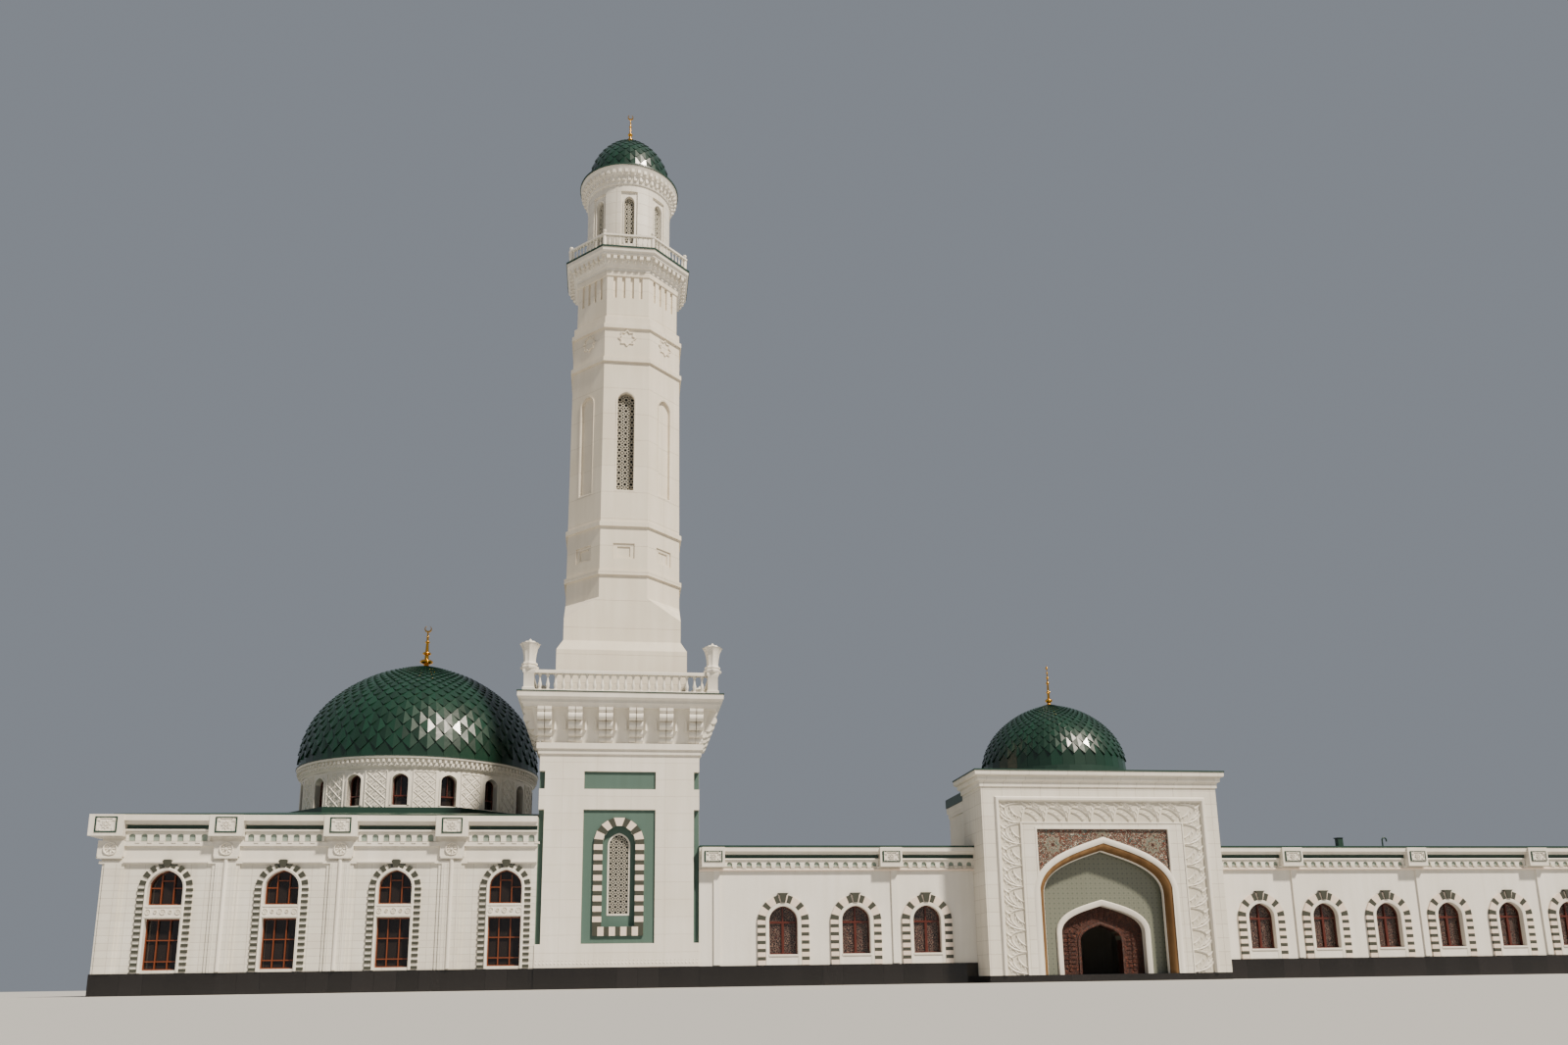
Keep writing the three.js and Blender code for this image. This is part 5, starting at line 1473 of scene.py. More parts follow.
@dataclass(frozen=True)
class HallWindow:
    """A two-storey window of the hall: dark blocks round a white surround, joinery and a carved band."""

    half: float = 0.695
    lower: Point = (1.0, 3.06)
    upper: Arch = Arch(0.695, 3.62, 4.3, 0.76)
    proud: float = 0.06
    bar: float = 0.045
    post: float = 0.24
    post_top: float = 4.86
    side_rail: float = 4.32
    middle_rail: float = 4.62
    lower_rails: Point = (2.2, 1.35)

    def build(self, stone: Piece, wood: Piece, place: Place) -> None:
        """Adds one window.

        Args:
            stone: Piece that takes the stone.
            wood: Piece that takes the joinery.
            place: The wall's face, with zero at the window's middle.
        """
        edge = Arch(self.half + 0.1, 0.9, self.upper.spring, self.upper.rise + 0.1)
        stone.sweep(place, edge.path(), [(-0.11, -0.2), (-0.11, 0.11), (-0.03, 0.13), (0.0, 0.1),
                                         (0.0, 0.0)])
        outer = Arch(0.8, 0.9, self.upper.spring, self.upper.rise + 0.13)
        head = outer.head()
        for path in ([head[0], (head[0][0], 0.93)][::-1], [(head[-1][0], 0.93), head[-1]][::-1]):
            stripes(stone, place, path, 0.27, (0.02, self.proud + 0.035), 0.245, (GREEN_STONE, None), 0.5)
        length = len(head) // 2
        for part in (head[:length + 1], head[length:]):
            stripes(stone, place, part, 0.25, (0.02, self.proud + 0.035), 0.27, (None, GREEN_STONE), 0.42)
        tip = self.upper.spring + self.upper.rise
        keystone(stone, place, [(0.1, tip + 0.12), (0.2, tip + 0.36), (0.12, tip + 0.42)], 0.17)
        band = (self.lower[1] + 0.02, self.upper.bottom - 0.02)
        stone.block(place, (-0.78, 0.78), band, (-0.1, 0.1))
        stone.sweep(place, rectangle(-0.76, 0.76, band[0] + 0.02, band[1] - 0.02)[::-1],
                    strip(-0.05, 0.0, 0.1, 0.13), closed=True)
        for k in range(5):
            u = (k - 2) * 0.29
            rosette(stone, moved(place, u, (band[0] + band[1]) / 2, 0.1), 0.11 if k % 2 == 0 else 0.07,
                    0.035, 6)
        self.joinery(wood, place)

    def joinery(self, wood: Piece, place: Place) -> None:
        """Adds the wooden frames and bars: two uprights, and rails set higher in the middle.

        Args:
            wood: Where they are added.
            place: The window's place.
        """
        depth, bar = (-0.28, -0.2), self.bar
        inside = strip(0.0, -0.055, -0.28, -0.17)
        wood.sweep(place, self.upper.path(), inside, WINDOW_WOOD, closed=True)
        low = rectangle(-self.half, self.half, *self.lower)
        wood.sweep(place, low[::-1], inside, WINDOW_WOOD, closed=True)
        post = self.post
        for u in (-post, post):
            wood.block(place, around(u, bar / 2), (self.upper.bottom, self.post_top), depth, WINDOW_WOOD)
            wood.block(place, around(u, bar / 2), self.lower, depth, WINDOW_WOOD)
        rails = [(-self.half, -post, self.side_rail), (-post, post, self.middle_rail),
                 (post, self.half, self.side_rail), *[(-self.half, self.half, v) for v in self.lower_rails]]
        for u0, u1, v in rails:
            wood.block(place, (u0, u1), around(v, bar / 2), (-0.275, -0.206), WINDOW_WOOD)


def panel_square(piece: Piece, place: Place, half: float, height: float) -> None:
    """Carves a square panel: a dark green rim round a sunk field with an eight-fold knot.

    Args:
        piece: Where it is added.
        place: Its middle, on the block's face.
        half: Half its width.
        height: Half its height.
    """
    frame_line = strip(-half, half, -height, height)
    piece.sweep(place, frame_line, strip(-0.055, 0.0, 0.0, 0.025), GREEN_SHEET, closed=True)
    inner = [(u * 0.84, v * 0.82) for u, v in frame_line]
    piece.sweep(place, inner, [(-0.03, 0.0), (-0.02, 0.03), (0.0, 0.03), (0.0, 0.0)], closed=True)
    size = min(half, height) * 0.62
    piece.plate(place, star(size, size * 0.62, 8), 0.0, 0.03, holes=[star(size * 0.74, size * 0.42, 8)])
    piece.plate(place, star(size * 0.4, size * 0.2, 8), 0.0, 0.035)
    for su in (-1, 1):
        for sv in (-1, 1):
            corner = moved(place, su * half * 0.66, sv * height * 0.62)
            piece.plate(corner, star(0.1, 0.045, 4, math.pi / 4), 0.0, 0.03)


def small_arches(piece: Piece, place: Place, u: Point, v: Point, pitch: float) -> None:
    """Carves a frieze of small arches with painted backs and a drop under each pier.

    Args:
        piece: Where it is added.
        place: The frieze's face.
        u: From and to along the wall.
        v: The arches' feet and the frieze's top.
        pitch: About the distance between arches.
    """
    count = max(1, round((u[1] - u[0]) / pitch))
    step = (u[1] - u[0]) / count
    half = 0.27 * step
    for number in range(count):
        middle = u[0] + step * (number + 0.5)
        here = moved(place, middle)
        rise = 0.8 * half
        arch = Arch(half, v[0], v[1] - rise - 0.07, rise, steps=4)
        piece.plate(here, rectangle(-step / 2, step / 2, v[0] - 0.001, v[1]), 0.0, 0.07, CARVED_MARBLE,
                    [[(a, b + 0.002) for a, b in arch.path()]])
        piece.pane(here, rectangle(-half, half, v[0], v[1] - 0.05), 0.012, PALE_PAINT)
        piece.block(here, (half, step - half), (v[0] - 0.1, v[0]), (0.0, 0.1), taper=0.02)


@dataclass(frozen=True)
class Side:
    """One side of a wing or the hall: its face, its ends, and its windows, pilasters and blocks."""

    place: Place
    low: float
    high: float
    windows: Sequence[float]
    blocks: Sequence[float] = ()
    piers: Sequence[float] = ()


@dataclass(frozen=True)
class Frieze:
    """A wall's frieze between its blocks: small arches, a green band and string mouldings."""

    block_half: float
    arches: Point
    pitch: float
    proud: float
    green_band: Point
    band_depth: Point
    strings: tuple
    shortest: float = 0.5

    def build(self, trim: Piece, side: Side) -> None:
        """Adds the frieze of one side, where it is clear of the blocks and not too short.

        Args:
            trim: Where it is added.
            side: The side.
        """
        blocks = sorted(side.blocks)
        starts = [side.low] + [u + self.block_half + 0.02 for u in blocks]
        stops = [u - self.block_half - 0.02 for u in blocks] + [side.high]
        for start, stop in zip(starts, stops):
            if stop - start < self.shortest:
                continue
            front = moved(side.place, 0, 0, self.proud)
            small_arches(trim, front, (start, stop), self.arches, self.pitch)
            trim.plate(side.place, rectangle(start, stop, *self.green_band), *self.band_depth, GREEN_SHEET)
            for height, section in self.strings:
                trim.sweep(side.place, [(start, height), (stop, height)], section)


class Storey:
    """What hall and wings share: their sides() have rows of windows, and dress_side() adds the trim."""

    def build_sides(self, name: str, trim_name: str) -> None:
        """Builds the windows' stone, their joinery and the trim of all sides, as three pieces.

        Args:
            name: What the windows' pieces are named after.
            trim_name: The trim's own name.
        """
        stone, wood = Piece(name + "_window_stone"), Piece(name + "_window_joinery", Slot.GLASS)
        trim = Piece(trim_name)
        for side in self.sides():
            for u in side.windows:
                self.window.build(stone, wood, moved(side.place, u))
            self.dress_side(trim, side)
        for piece in (stone, wood, trim):
            piece.build()


@dataclass(frozen=True)
class Hall(Storey):
    """The prayer hall: four window bays a side, under a deep entablature with carved blocks."""

    left: float = -21.0
    right: float = 0.46
    back: float = 18.01
    wall_top: float = 5.31
    pitch: float = 4.56
    first: float = -18.46
    corner_block: float = 0.15
    rod: float = 0.085
    tower_side: float = 3.5
    plinth_top: float = 0.92
    panel_middle: float = 6.88
    medallion_middle: float = 5.92
    shelf: Point = (5.52, 5.62)
    frieze: Frieze = Frieze(0.67, (6.24, 6.61), 0.46, 0.09, (6.735, 6.905), (0.12, 0.15), (
        (6.72, ((0.0, 0.1), (0.0, 0.26), (-0.05, 0.27), (-0.09, 0.2), (-0.09, 0.1))),
        (5.36, ((0.05, 0.05), (0.05, 0.16), (0.0, 0.17), (-0.06, 0.1), (-0.06, 0.05)))))
    window: HallWindow = HallWindow()

    def sides(self) -> list[Side]:
        """Lays out the walls.

        Returns:
            The four sides, the front first.
        """
        centre_x, centre_y = (self.left + self.right) / 2, (FRONT + self.back) / 2
        half, corner = (self.right - self.left) / 2, 0.43
        bays = [(-half + corner) + (half - corner) * 2 * (i + 0.5) / 4 for i in range(4)]
        piers = [i * (half - corner) / 2 for i in (-1, 0, 1)]
        front = [self.first + i * self.pitch for i in range(4)]
        start, end = self.tower_side, self.back - 0.3
        right = [start + (end - start) * (i + 0.5) / 3 for i in range(3)]
        front_piers = [x + self.pitch / 2 for x in front[:3]]
        right_piers = [(a + b) / 2 for a, b in zip(right, right[1:])]
        corners = [-half + self.corner_block, half - self.corner_block]
        return [Side(on_wall(0, FRONT), self.left, -self.tower_side - 0.01, front,
                     [self.left + self.corner_block, *front_piers], front_piers),
                Side(on_wall(centre_x, self.back, math.pi), -half, half, bays, [*piers, *corners], piers),
                Side(on_wall(self.left, centre_y, -math.pi / 2), -half, half, bays, [*piers, *corners],
                     piers),
                Side(on_wall(self.right, 0, math.pi / 2), start + 0.01, self.back, right,
                     [*right_piers, self.back - self.corner_block], right_piers)]

    def build(self) -> None:
        """Dresses the hall's walls and adds windows, pilaster grooves, blocks and the frieze."""
        dress(SMALL_SLABS, "hall_front_wall", "hall_back_wall", "hall_left_wall", "hall_right_wall")
        dress(CARVED_MARBLE, "hall_entablature")
        dress(GRANITE, "hall_base")
        dress(GLASS_PAINTED_SHADE, "hall_glazing")
        dress(GREEN_SHEET, "hall_roof")
        self.build_sides("hall", "hall_frieze_and_blocks")

    def dress_side(self, trim: Piece, side: Side) -> None:
        """Adds the frieze, the blocks' panels and medallions, and the pilasters' rods and edges.

        Args:
            trim: Where they are added.
            side: The side.
        """
        place = side.place
        for u in side.piers:
            rod = [(self.rod * math.cos(a), 0.11 + self.rod * math.sin(a)) for a in
                   [math.radians(15 * k) for k in range(13)]]
            trim.sweep(place, [(u, self.plinth_top), (u, self.wall_top + 0.25)], rod)
            for edge in (u - 0.3, u + 0.27):
                trim.block(place, (edge, edge + 0.03), (self.plinth_top, self.wall_top - 0.02),
                           (0.11, 0.135))
        for u in side.blocks:
            middle = min(max(u, side.low + 0.3), side.high - 0.3)
            panel_square(trim, moved(place, u, self.panel_middle, 0.52), 0.43, 0.33)
            rosette(trim, moved(place, middle, self.medallion_middle, 0.2), 0.27, 0.07, 8)
            trim.plate(moved(place, middle), rectangle(-0.46, 0.46, *self.shelf), 0.1, 0.23)
        self.frieze.build(trim, side)


@dataclass(frozen=True)
class HallDrum:
    """The drum under the main dome: arched windows between carved lozenge piers, and a cornice."""

    x: float = -10.27
    y: float = 7.28
    radius: float = 5.7
    foot: float = 8.2
    top: float = 10.3
    cornice_top: float = 10.9
    cornice_radius: float = 6.0
    windows: int = 16
    dentils: int = 144
    arch: Arch = Arch(0.37, 8.55, 9.75, 0.3, steps=7)
    frame_half: float = 0.56
    net_rows: int = 4
    rail: Point = (9.0, 9.06)
    bar_top: float = 9.98

    def build(self) -> None:
        """Builds the drum in place of the plain ring, with its glazing bars and carved net."""
        wall, wood = Piece("hall_drum_carved"), Piece("hall_drum_joinery", Slot.GLASS)
        drum = on_drum(self.x, self.y, self.radius)
        bay = 2 * math.pi * self.radius / self.windows
        for number in range(self.windows):
            here = moved(drum, number * bay)
            drum_wall(wall, here, (self.frame_half, bay - self.frame_half), (self.foot, self.top),
                      (-0.4, 0.0), 8)
            wall.plate(here, rectangle(-self.frame_half, self.frame_half, self.foot, self.top), -0.4, 0.0,
                       holes=[self.arch.path()])
            wall.sweep(here, self.arch.grown(0.07).path(),
                       [(-0.07, -0.38), (-0.07, 0.04), (0.0, 0.04), (0.03, 0.0)])
            self.carve_net(wall, moved(here, bay / 2), bay / 2 - self.frame_half - 0.02)
            inside = strip(0.0, -0.05, -0.34, -0.27)
            wood.sweep(here, self.arch.path(), inside, DARK_WOOD, closed=True)
            wood.block(here, around(0, self.arch.half), self.rail, (-0.34, -0.26), DARK_WOOD)
            wood.block(here, (-0.02, 0.02), (self.rail[1], self.bar_top), (-0.34, -0.28), DARK_WOOD)
        r, z = self.radius, self.top
        foot = [(0, 0), (0.04, 0.01), (0.06, 0.08), (0.12, 0.1), (0.14, 0.2), (0.17, 0.44)]
        rim = shifted([(-0.02, 0.46), (0, 0.5), (0, 0.56)], self.cornice_radius, z)
        wall.lathe(self.x, self.y, [*shifted(foot, r, z), *rim], 160)
        edge = shifted([(0, 0.56), (0.03, 0.56), (0.03, 0.6)], self.cornice_radius, z)
        wall.lathe(self.x, self.y, [*edge, (r - 0.3, self.cornice_top + 0.005)], 160, GREEN_SHEET)
        for i in range(self.dentils):
            u = 2 * math.pi * r * i / self.dentils
            wall.block(drum, around(u, 0.07), (z + 0.26, z + 0.44), (0.1, 0.26), taper=0.02)
            wall.block(drum, (u + 0.06, u + 0.19), (z + 0.12, z + 0.22), (0.08, 0.19), taper=0.02)
        wall.build(replaces=["hall_drum"])
        wood.build()
        dress(GLASS_PAINTED_SHADE, "hall_drum_glazing")

    def carve_net(self, wall: Piece, here: Place, half: float) -> None:
        """Carves crossing diagonals with a small flower in every lozenge of one pier.

        Args:
            wall: Where they are added.
            here: The pier's place.
            half: Half its width.
        """
        low, high = self.foot + 0.12, self.top - 0.1
        wall.sweep(here, rectangle(-half, half, low, high)[::-1],
                   [(-0.05, 0.0), (-0.04, 0.045), (0.0, 0.045), (0.0, 0.0)], closed=True)
        rows = self.net_rows
        step = (high - low) / rows
        for k in range(-rows, rows * 2):
            for slope in (-1, 1):
                line = []
                for i in range(13):
                    u = -half + 2 * half * i / 12
                    v = low + k * step + (half + slope * u) * step / half
                    if low <= v <= high:
                        line.append((u, v))
                if len(line) > 1:
                    wall.sweep(here, line, [(-0.03, 0.0), (0.0, 0.036), (0.03, 0.0)])
        for row in range(rows):
            for share, level in ((0.0, row + 0.5), (0.55, row), (-0.55, row)):
                if level > 0:
                    wall.plate(moved(here, half * share, low + step * level), star(0.12, 0.05, 4), 0.0, 0.03)


@dataclass(frozen=True)
class WingWindow:
    """A round-headed window with rose and green stripes, an inner frame and flowered panes."""

    arch: Arch = Arch(0.645, 1.33, 2.8, 0.645, 0.97)
    stripe_inner: float = 0.8
    stripe_width: float = 0.338
    pitch: float = 0.37
    foot: float = 0.9
    proud: float = 0.06
    sill: Point = (1.27, 1.345)
    bar_foot: float = 1.35
    rail: Point = (2.68, 2.77)
    bar_top: float = 3.4

    def build(self, stone: Piece, wood: Piece, place: Place) -> None:
        """Adds one window.

        Args:
            stone: Piece that takes the stone.
            wood: Piece that takes the joinery and the panes.
            place: The wall's face, with zero at the window's middle.
        """
        ring = Arch(self.stripe_inner, self.foot, self.arch.spring, self.arch.rise + 0.15, 0.97)
        front = self.proud + 0.035
        for side in (-1, 1):
            path = [(side * ring.half, self.foot), (side * ring.half, ring.spring + 0.02)][::-side]
            stripes(stone, place, path, self.stripe_width, (0.0, front), self.pitch,
                    (ROSE_STONE, GREEN_STONE), 0.55)
        stripes(stone, place, ring.head(), self.stripe_width, (0.0, front), 0.43, (GREEN_STONE, ROSE_STONE),
                0.4)
        tip = ring.spring + ring.rise
        keystone(stone, place, [(0.09, tip - 0.02), (0.15, tip + 0.3), (0.24, tip + 0.4)], 0.15)
        stone.sweep(place, Arch(ring.half, self.foot, ring.spring, ring.rise, 0.97).path(),
                    [(-0.167, -0.22), (-0.167, 0.085), (-0.11, 0.1), (-0.02, 0.1), (0.0, 0.06)])
        stone.block(place, (-0.66, 0.66), self.sill, (-0.26, 0.12))
        stone.block(place, (-0.645, 0.645), (self.foot, self.sill[0]), (0.0, 0.075), LIME_PLASTER)
        depth = (-0.29, -0.2)
        wood.pane(place, self.arch.grown(-0.05).path()[::-1], -0.275, FLOWER_GLASS)
        wood.sweep(place, self.arch.path(), strip(0.0, -0.07, -0.3, -0.19), DARK_WOOD, closed=True)
        wood.block(place, (-0.055, 0.055), (self.bar_foot, self.rail[1] - 0.02), depth, DARK_WOOD)
        wood.block(place, (-0.6, 0.6), self.rail, (-0.285, -0.194), DARK_WOOD)
        wood.block(place, (-0.03, 0.03), (self.rail[1], self.bar_top), depth, DARK_WOOD)


@dataclass(frozen=True)
class Wing(Storey):
    """A low wing: plaster walls, striped windows and a frieze between carved blocks."""

    name: str
    start: float
    end: float
    windows: tuple
    blocks: tuple
    end_wall: bool
    walls: tuple
    glass: tuple
    front_start: float
    front_end: float
    depth: float = 6.5
    window: WingWindow = WingWindow()
    wall: Point = (0.92, 4.98)
    rose_string: float = 5.0
    panel_middle: float = 5.57
    frieze: Frieze = Frieze(0.5, (5.16, 5.42), 0.44, 0.055, (5.52, 5.665), (0.1, 0.125), (
        (5.5, ((0.0, 0.1), (0.0, 0.19), (-0.05, 0.2), (-0.07, 0.1))),))
    roof_edge: Point = (5.98, 6.06)

    def build(self) -> None:
        """Dresses the wing and adds its windows, frieze, strips and roof edge."""
        dress(LIME_PLASTER, *[f"{self.name}_{wall}" for wall in self.walls])
        dress(CARVED_MARBLE, f"{self.name}_entablature")
        dress(GRANITE, f"{self.name}_base")
        dress(GREEN_SHEET, f"{self.name}_roof")
        dress(GLASS_PAINTED_SHADE, *[f"{self.name}_{panes}" for panes in self.glass])
        self.build_sides(self.name, self.name + "_frieze")

    def sides(self) -> list[Side]:
        """Lays out the walls.

        Returns:
            The front, the back that mirrors it, and the end wall where there is one.
        """
        back = FRONT + self.depth
        sides = [Side(on_wall(0, FRONT), self.front_start, self.front_end, self.windows, self.blocks),
                 Side(on_wall(0, back, math.pi), -self.end, -self.start, [-u for u in self.windows],
                      [-u for u in self.blocks])]
        if self.end_wall:
            sides.append(Side(on_wall(self.end, 0, math.pi / 2), FRONT, back, [(FRONT + back) / 2]))
        return sides

    def dress_side(self, trim: Piece, side: Side) -> None:
        """Adds one side's frieze, block panels, wall strips and roof edge.

        Args:
            trim: Where they are added.
            side: The side.
        """
        for u in side.blocks:
            panel_square(trim, moved(side.place, u, self.panel_middle, 0.45), 0.4, 0.24)
            trim.block(side.place, (u + 0.04, u + 0.32), self.wall, (0.0, 0.08), LIME_PLASTER)
        self.frieze.build(trim, side)
        trim.sweep(side.place, [(side.low, self.rose_string), (side.high, self.rose_string)],
                   [(0.05, 0.05), (0.05, 0.13), (0.0, 0.14), (-0.05, 0.05)], ROSE_STONE)
        trim.block(side.place, (side.low, side.high), self.roof_edge, (0.1, 0.38), GREEN_SHEET)


@dataclass(frozen=True)
class RoofVents:
    """The small vent box and the bent vent pipe that stand on the right wing's roof."""

    box_x: float = 34.74
    pipe_x: float = 37.05
    y: float = -2.55
    foot: float = 6.1
    box_top: float = 6.58
    bend: Arch = Arch(0.11, 6.42, 6.5, 0.11, steps=6)
    pipe_radius: float = 0.035

    def build(self) -> None:
        """Builds the box with its flared cap, and the pipe."""
        piece = Piece("right_wing_roof_vents", Slot.ROOF)
        here = on_wall(self.box_x, self.y)
        piece.block(here, (-0.13, 0.13), (self.foot, self.box_top), (-0.26, 0.0), GREEN_SHEET)
        piece.block(here, (-0.17, 0.17), (self.box_top, self.box_top + 0.05), (-0.3, 0.04), GREEN_SHEET,
                    0.02)
        curve, ring = self.bend.path(), circle(self.pipe_radius, 10)
        piece.sweep(on_wall(self.pipe_x, self.y), [(curve[0][0], self.foot), *curve], [*ring, ring[0]],
                    GREEN_SHEET)
        piece.build(smooth=40)


def bend(points: Sequence[Point], t: float) -> tuple[Point, Point]:
    """Follows a line that is bent by its middle point.

    Args:
        points: Start, middle and end.
        t: Share of the way, 0 to 1.

    Returns:
        The point there and the line's direction.
    """
    (a, b), (c, d), (e, f) = points
    rest = 1 - t
    spot = (rest ** 2 * a + 2 * t * rest * c + t * t * e, rest ** 2 * b + 2 * t * rest * d + t * t * f)
    return spot, (rest * (c - a) + t * (e - c), rest * (d - b) + t * (f - d))


# The arcs of one repeat of the leaf band, as shares of its width and height, and the small leaves on each.
LEAF_ARCS = ((((0.02, 0.6), (0.1, 0.08), (1.0, 0.0)), 4), (((0.3, 0.75), (0.28, 0.35), (0.68, 0.1)), 3),
             (((1.0, 0.97), (0.35, 0.93), (0.3, 0.72)), 4), (((0.05, 0.95), (0.12, 0.8), (0.32, 0.72)), 1),
             (((0.08, 0.62), (0.2, 0.42), (0.45, 0.22)), 2), (((0.52, 0.8), (0.6, 0.45), (0.95, 0.3)), 3))
# The stars laid on one another in a medallion: outer and inner share of its size, finish and height.
STAR_LAYERS = ((1.0, 0.72, CREAM_INLAY, 0.01), (0.86, 0.6, NICHE_TILE, 0.014), (0.68, 0.4, MOSAIC, 0.018),
               (0.5, 0.3, CREAM_INLAY, 0.022), (0.3, 0.14, TERRACOTTA, 0.026))


@dataclass(frozen=True)
class Portal:
    """The portal: a carved frame round a pointed niche, mosaic spandrels and an inner doorway."""

    x: float = 21.5
    front: float = -5.2
    back: float = -2.36
    half: float = 5.57
    top: float = 8.54
    cornice_top: float = 9.3
    leaf_outer: float = 4.82
    leaf_inner: float = 3.78
    leaf_top: float = 7.95
    leaf_depth: float = 0.06
    field_half: float = 3.1
    field_top: float = 6.67
    field_depth: float = 0.1
    foot: float = 0.3
    arch: Arch = Arch(2.95, 0.3, 3.75, 2.1, 0.8, 18)
    niche_depth: float = 0.75
    inner: Arch = Arch(2.0, 0.3, 2.1, 1.25, 0.8, 14)
    door: Arch = Arch(0.98, 0.3, 1.75, 0.72, 0.8, 10)
    inner_depth: float = 0.35
    repeats: int = 7
    medallions: tuple = ((-2.35, 5.95, 0.44), (2.35, 5.95, 0.44), (0.0, 6.37, 0.26))
    door_stars: int = 9
    door_rays: int = 15
    rays: Point = (1.2, 1.52)
    block_half: float = 4.3
    block_back: float = 4.3
    block_top: float = 8.9
    block_panels: tuple = ((1.35, 5.0), (5.4, 7.9))

    def build(self) -> None:
        """Dresses the plain solids and adds the carving, mosaic, niche, doorway and the trim behind."""
        dress(MARBLE, "portal_screen")
        dress(LIME_PLASTER, "entrance_walls")
        dress(GRANITE, "portal_floor")
        dress(GREEN_SHEET, "portal_roof")
        dress(NICHE_TILE, "portal_door_wall")
        self.build_cornice()
        self.carve_leaf_band()
        self.lay_mosaic()
        self.build_arch_mouldings()
        self.build_doorway()
        self.trim_back_block()

    def trim_back_block(self) -> None:
        """Adds a plinth, a cornice and framed panels to the entrance block behind the screen."""
        piece = Piece("entrance_block_trim")
        half, top = self.block_half, self.block_top
        plan = rectangle(self.x - half, self.x + half, self.back, self.block_back)
        girdle(piece, plan, [(0.0, top - 0.55), (0.05, top - 0.53), (0.05, top - 0.35), (0.11, top - 0.28),
                             (0.13, top - 0.02), (0.0, top)])
        rear = on_wall(self.x, self.block_back, math.pi)
        piece.block(rear, (-half, half), (self.foot + 0.01, 0.92), (0.0, 0.05), GRANITE)
        for u in (-2.75, 0.0, 2.75):
            for low, high in self.block_panels:
                piece.sweep(rear, rectangle(u - 1.15, u + 1.15, low, high)[::-1],
                            [(0.0, 0.0), (0.0, 0.05), (-0.08, 0.05), (-0.1, 0.0)], closed=True)
        piece.build()

    def gate(self, half: float, top: float) -> list[Point]:
        """Returns the open line up the left side, across the top and down the right side."""
        return strip(-half, half, self.foot, top)

    def wall(self, depth: float = 0.0) -> Place:
        """Returns the portal's face, or a plane the given depth behind it."""
        return on_wall(self.x, self.front + depth)

    def build_cornice(self) -> None:
        """Builds the three-step cornice with its dark metal edge, and the frame's inner moulding."""
        piece = Piece("portal_cornice_steps")
        plan = rectangle(self.x - self.half, self.x + self.half, self.front, self.back)
        z = self.top
        steps = [(0, 0), (0.06, 0.01), (0.06, 0.2), (0.1, 0.25), (0.16, 0.27), (0.18, 0.3), (0.18, 0.43),
                 (0.22, 0.46), (0.3, 0.5), (0.32, 0.52), (0.32, 0.7)]
        girdle(piece, plan, shifted(steps, 0, z), MARBLE)
        girdle(piece, plan, [(0.32, z + 0.7), (0.35, z + 0.7), (0.35, self.cornice_top),
                             (-1.2, self.cornice_top)], GREEN_SHEET)
        piece.sweep(self.wall(), self.gate(self.leaf_outer, self.leaf_top),
                    [(-0.06, -0.06), (-0.06, 0.0), (-0.03, 0.04), (0.0, 0.1), (0.1, 0.1), (0.14, 0.04),
                     (0.17, 0.0)])
        piece.sweep(self.wall(), self.gate(self.leaf_inner, self.leaf_top - 1.04),
                    [(0.0, 0.0), (0.0, 0.03), (0.05, 0.03), (0.07, -0.05)])
        piece.sweep(self.wall(), self.gate(self.field_half, self.field_top),
                    [(-0.015, -0.095), (-0.015, 0.02), (0.06, 0.02), (0.08, 0.0)])
        piece.build(replaces=["portal_cornice"])

    def carve_leaf_band(self) -> None:
        """Carves the band of curling leaves up both sides and along the top of the frame."""
        piece = Piece("portal_leaf_band")
        low, width = self.foot + 0.05, self.leaf_outer - self.leaf_inner - 0.06
        step = (self.leaf_top - low - width - 0.05) / self.repeats
        face = self.wall(self.leaf_depth)
        outer, inner, top = self.leaf_outer - 0.01, self.leaf_inner + 0.01, self.leaf_top - 0.01
        ground = [*self.gate(outer, top), *self.gate(inner, top - outer + inner)[::-1]]
        # The ground's greyer colour is painted shade of its fine carving.
        piece.plate(face, ground[::-1], 0.0, 0.006, NET_MARBLE_PAINTED_SHADE)
        for side in (-1, 1):
            for number in range(self.repeats + 1):
                here = self.mirrored(moved(face, side * (self.leaf_outer - 0.03), low + step * number), side)
                self.leaf(piece, here, width, step)
        pitch = 2 * self.leaf_inner / self.repeats
        for number in range(self.repeats):
            corner = moved(face, -self.leaf_inner + pitch * (number + 1), self.leaf_top - 0.03)
            self.leaf(piece, self.turned(corner), width, pitch)
        piece.build(smooth=60)

    def mirrored(self, place: Place, side: int) -> Place:
        """Returns the place as it is on the left, or mirrored on the right."""
        return place if side < 0 else lambda u, v, w: place(-u, v, w)

    def turned(self, place: Place) -> Place:
        """Returns the place turned so that a repeat hangs down and sweeps rightwards."""
        return lambda u, v, w: place(-v, -u, w)

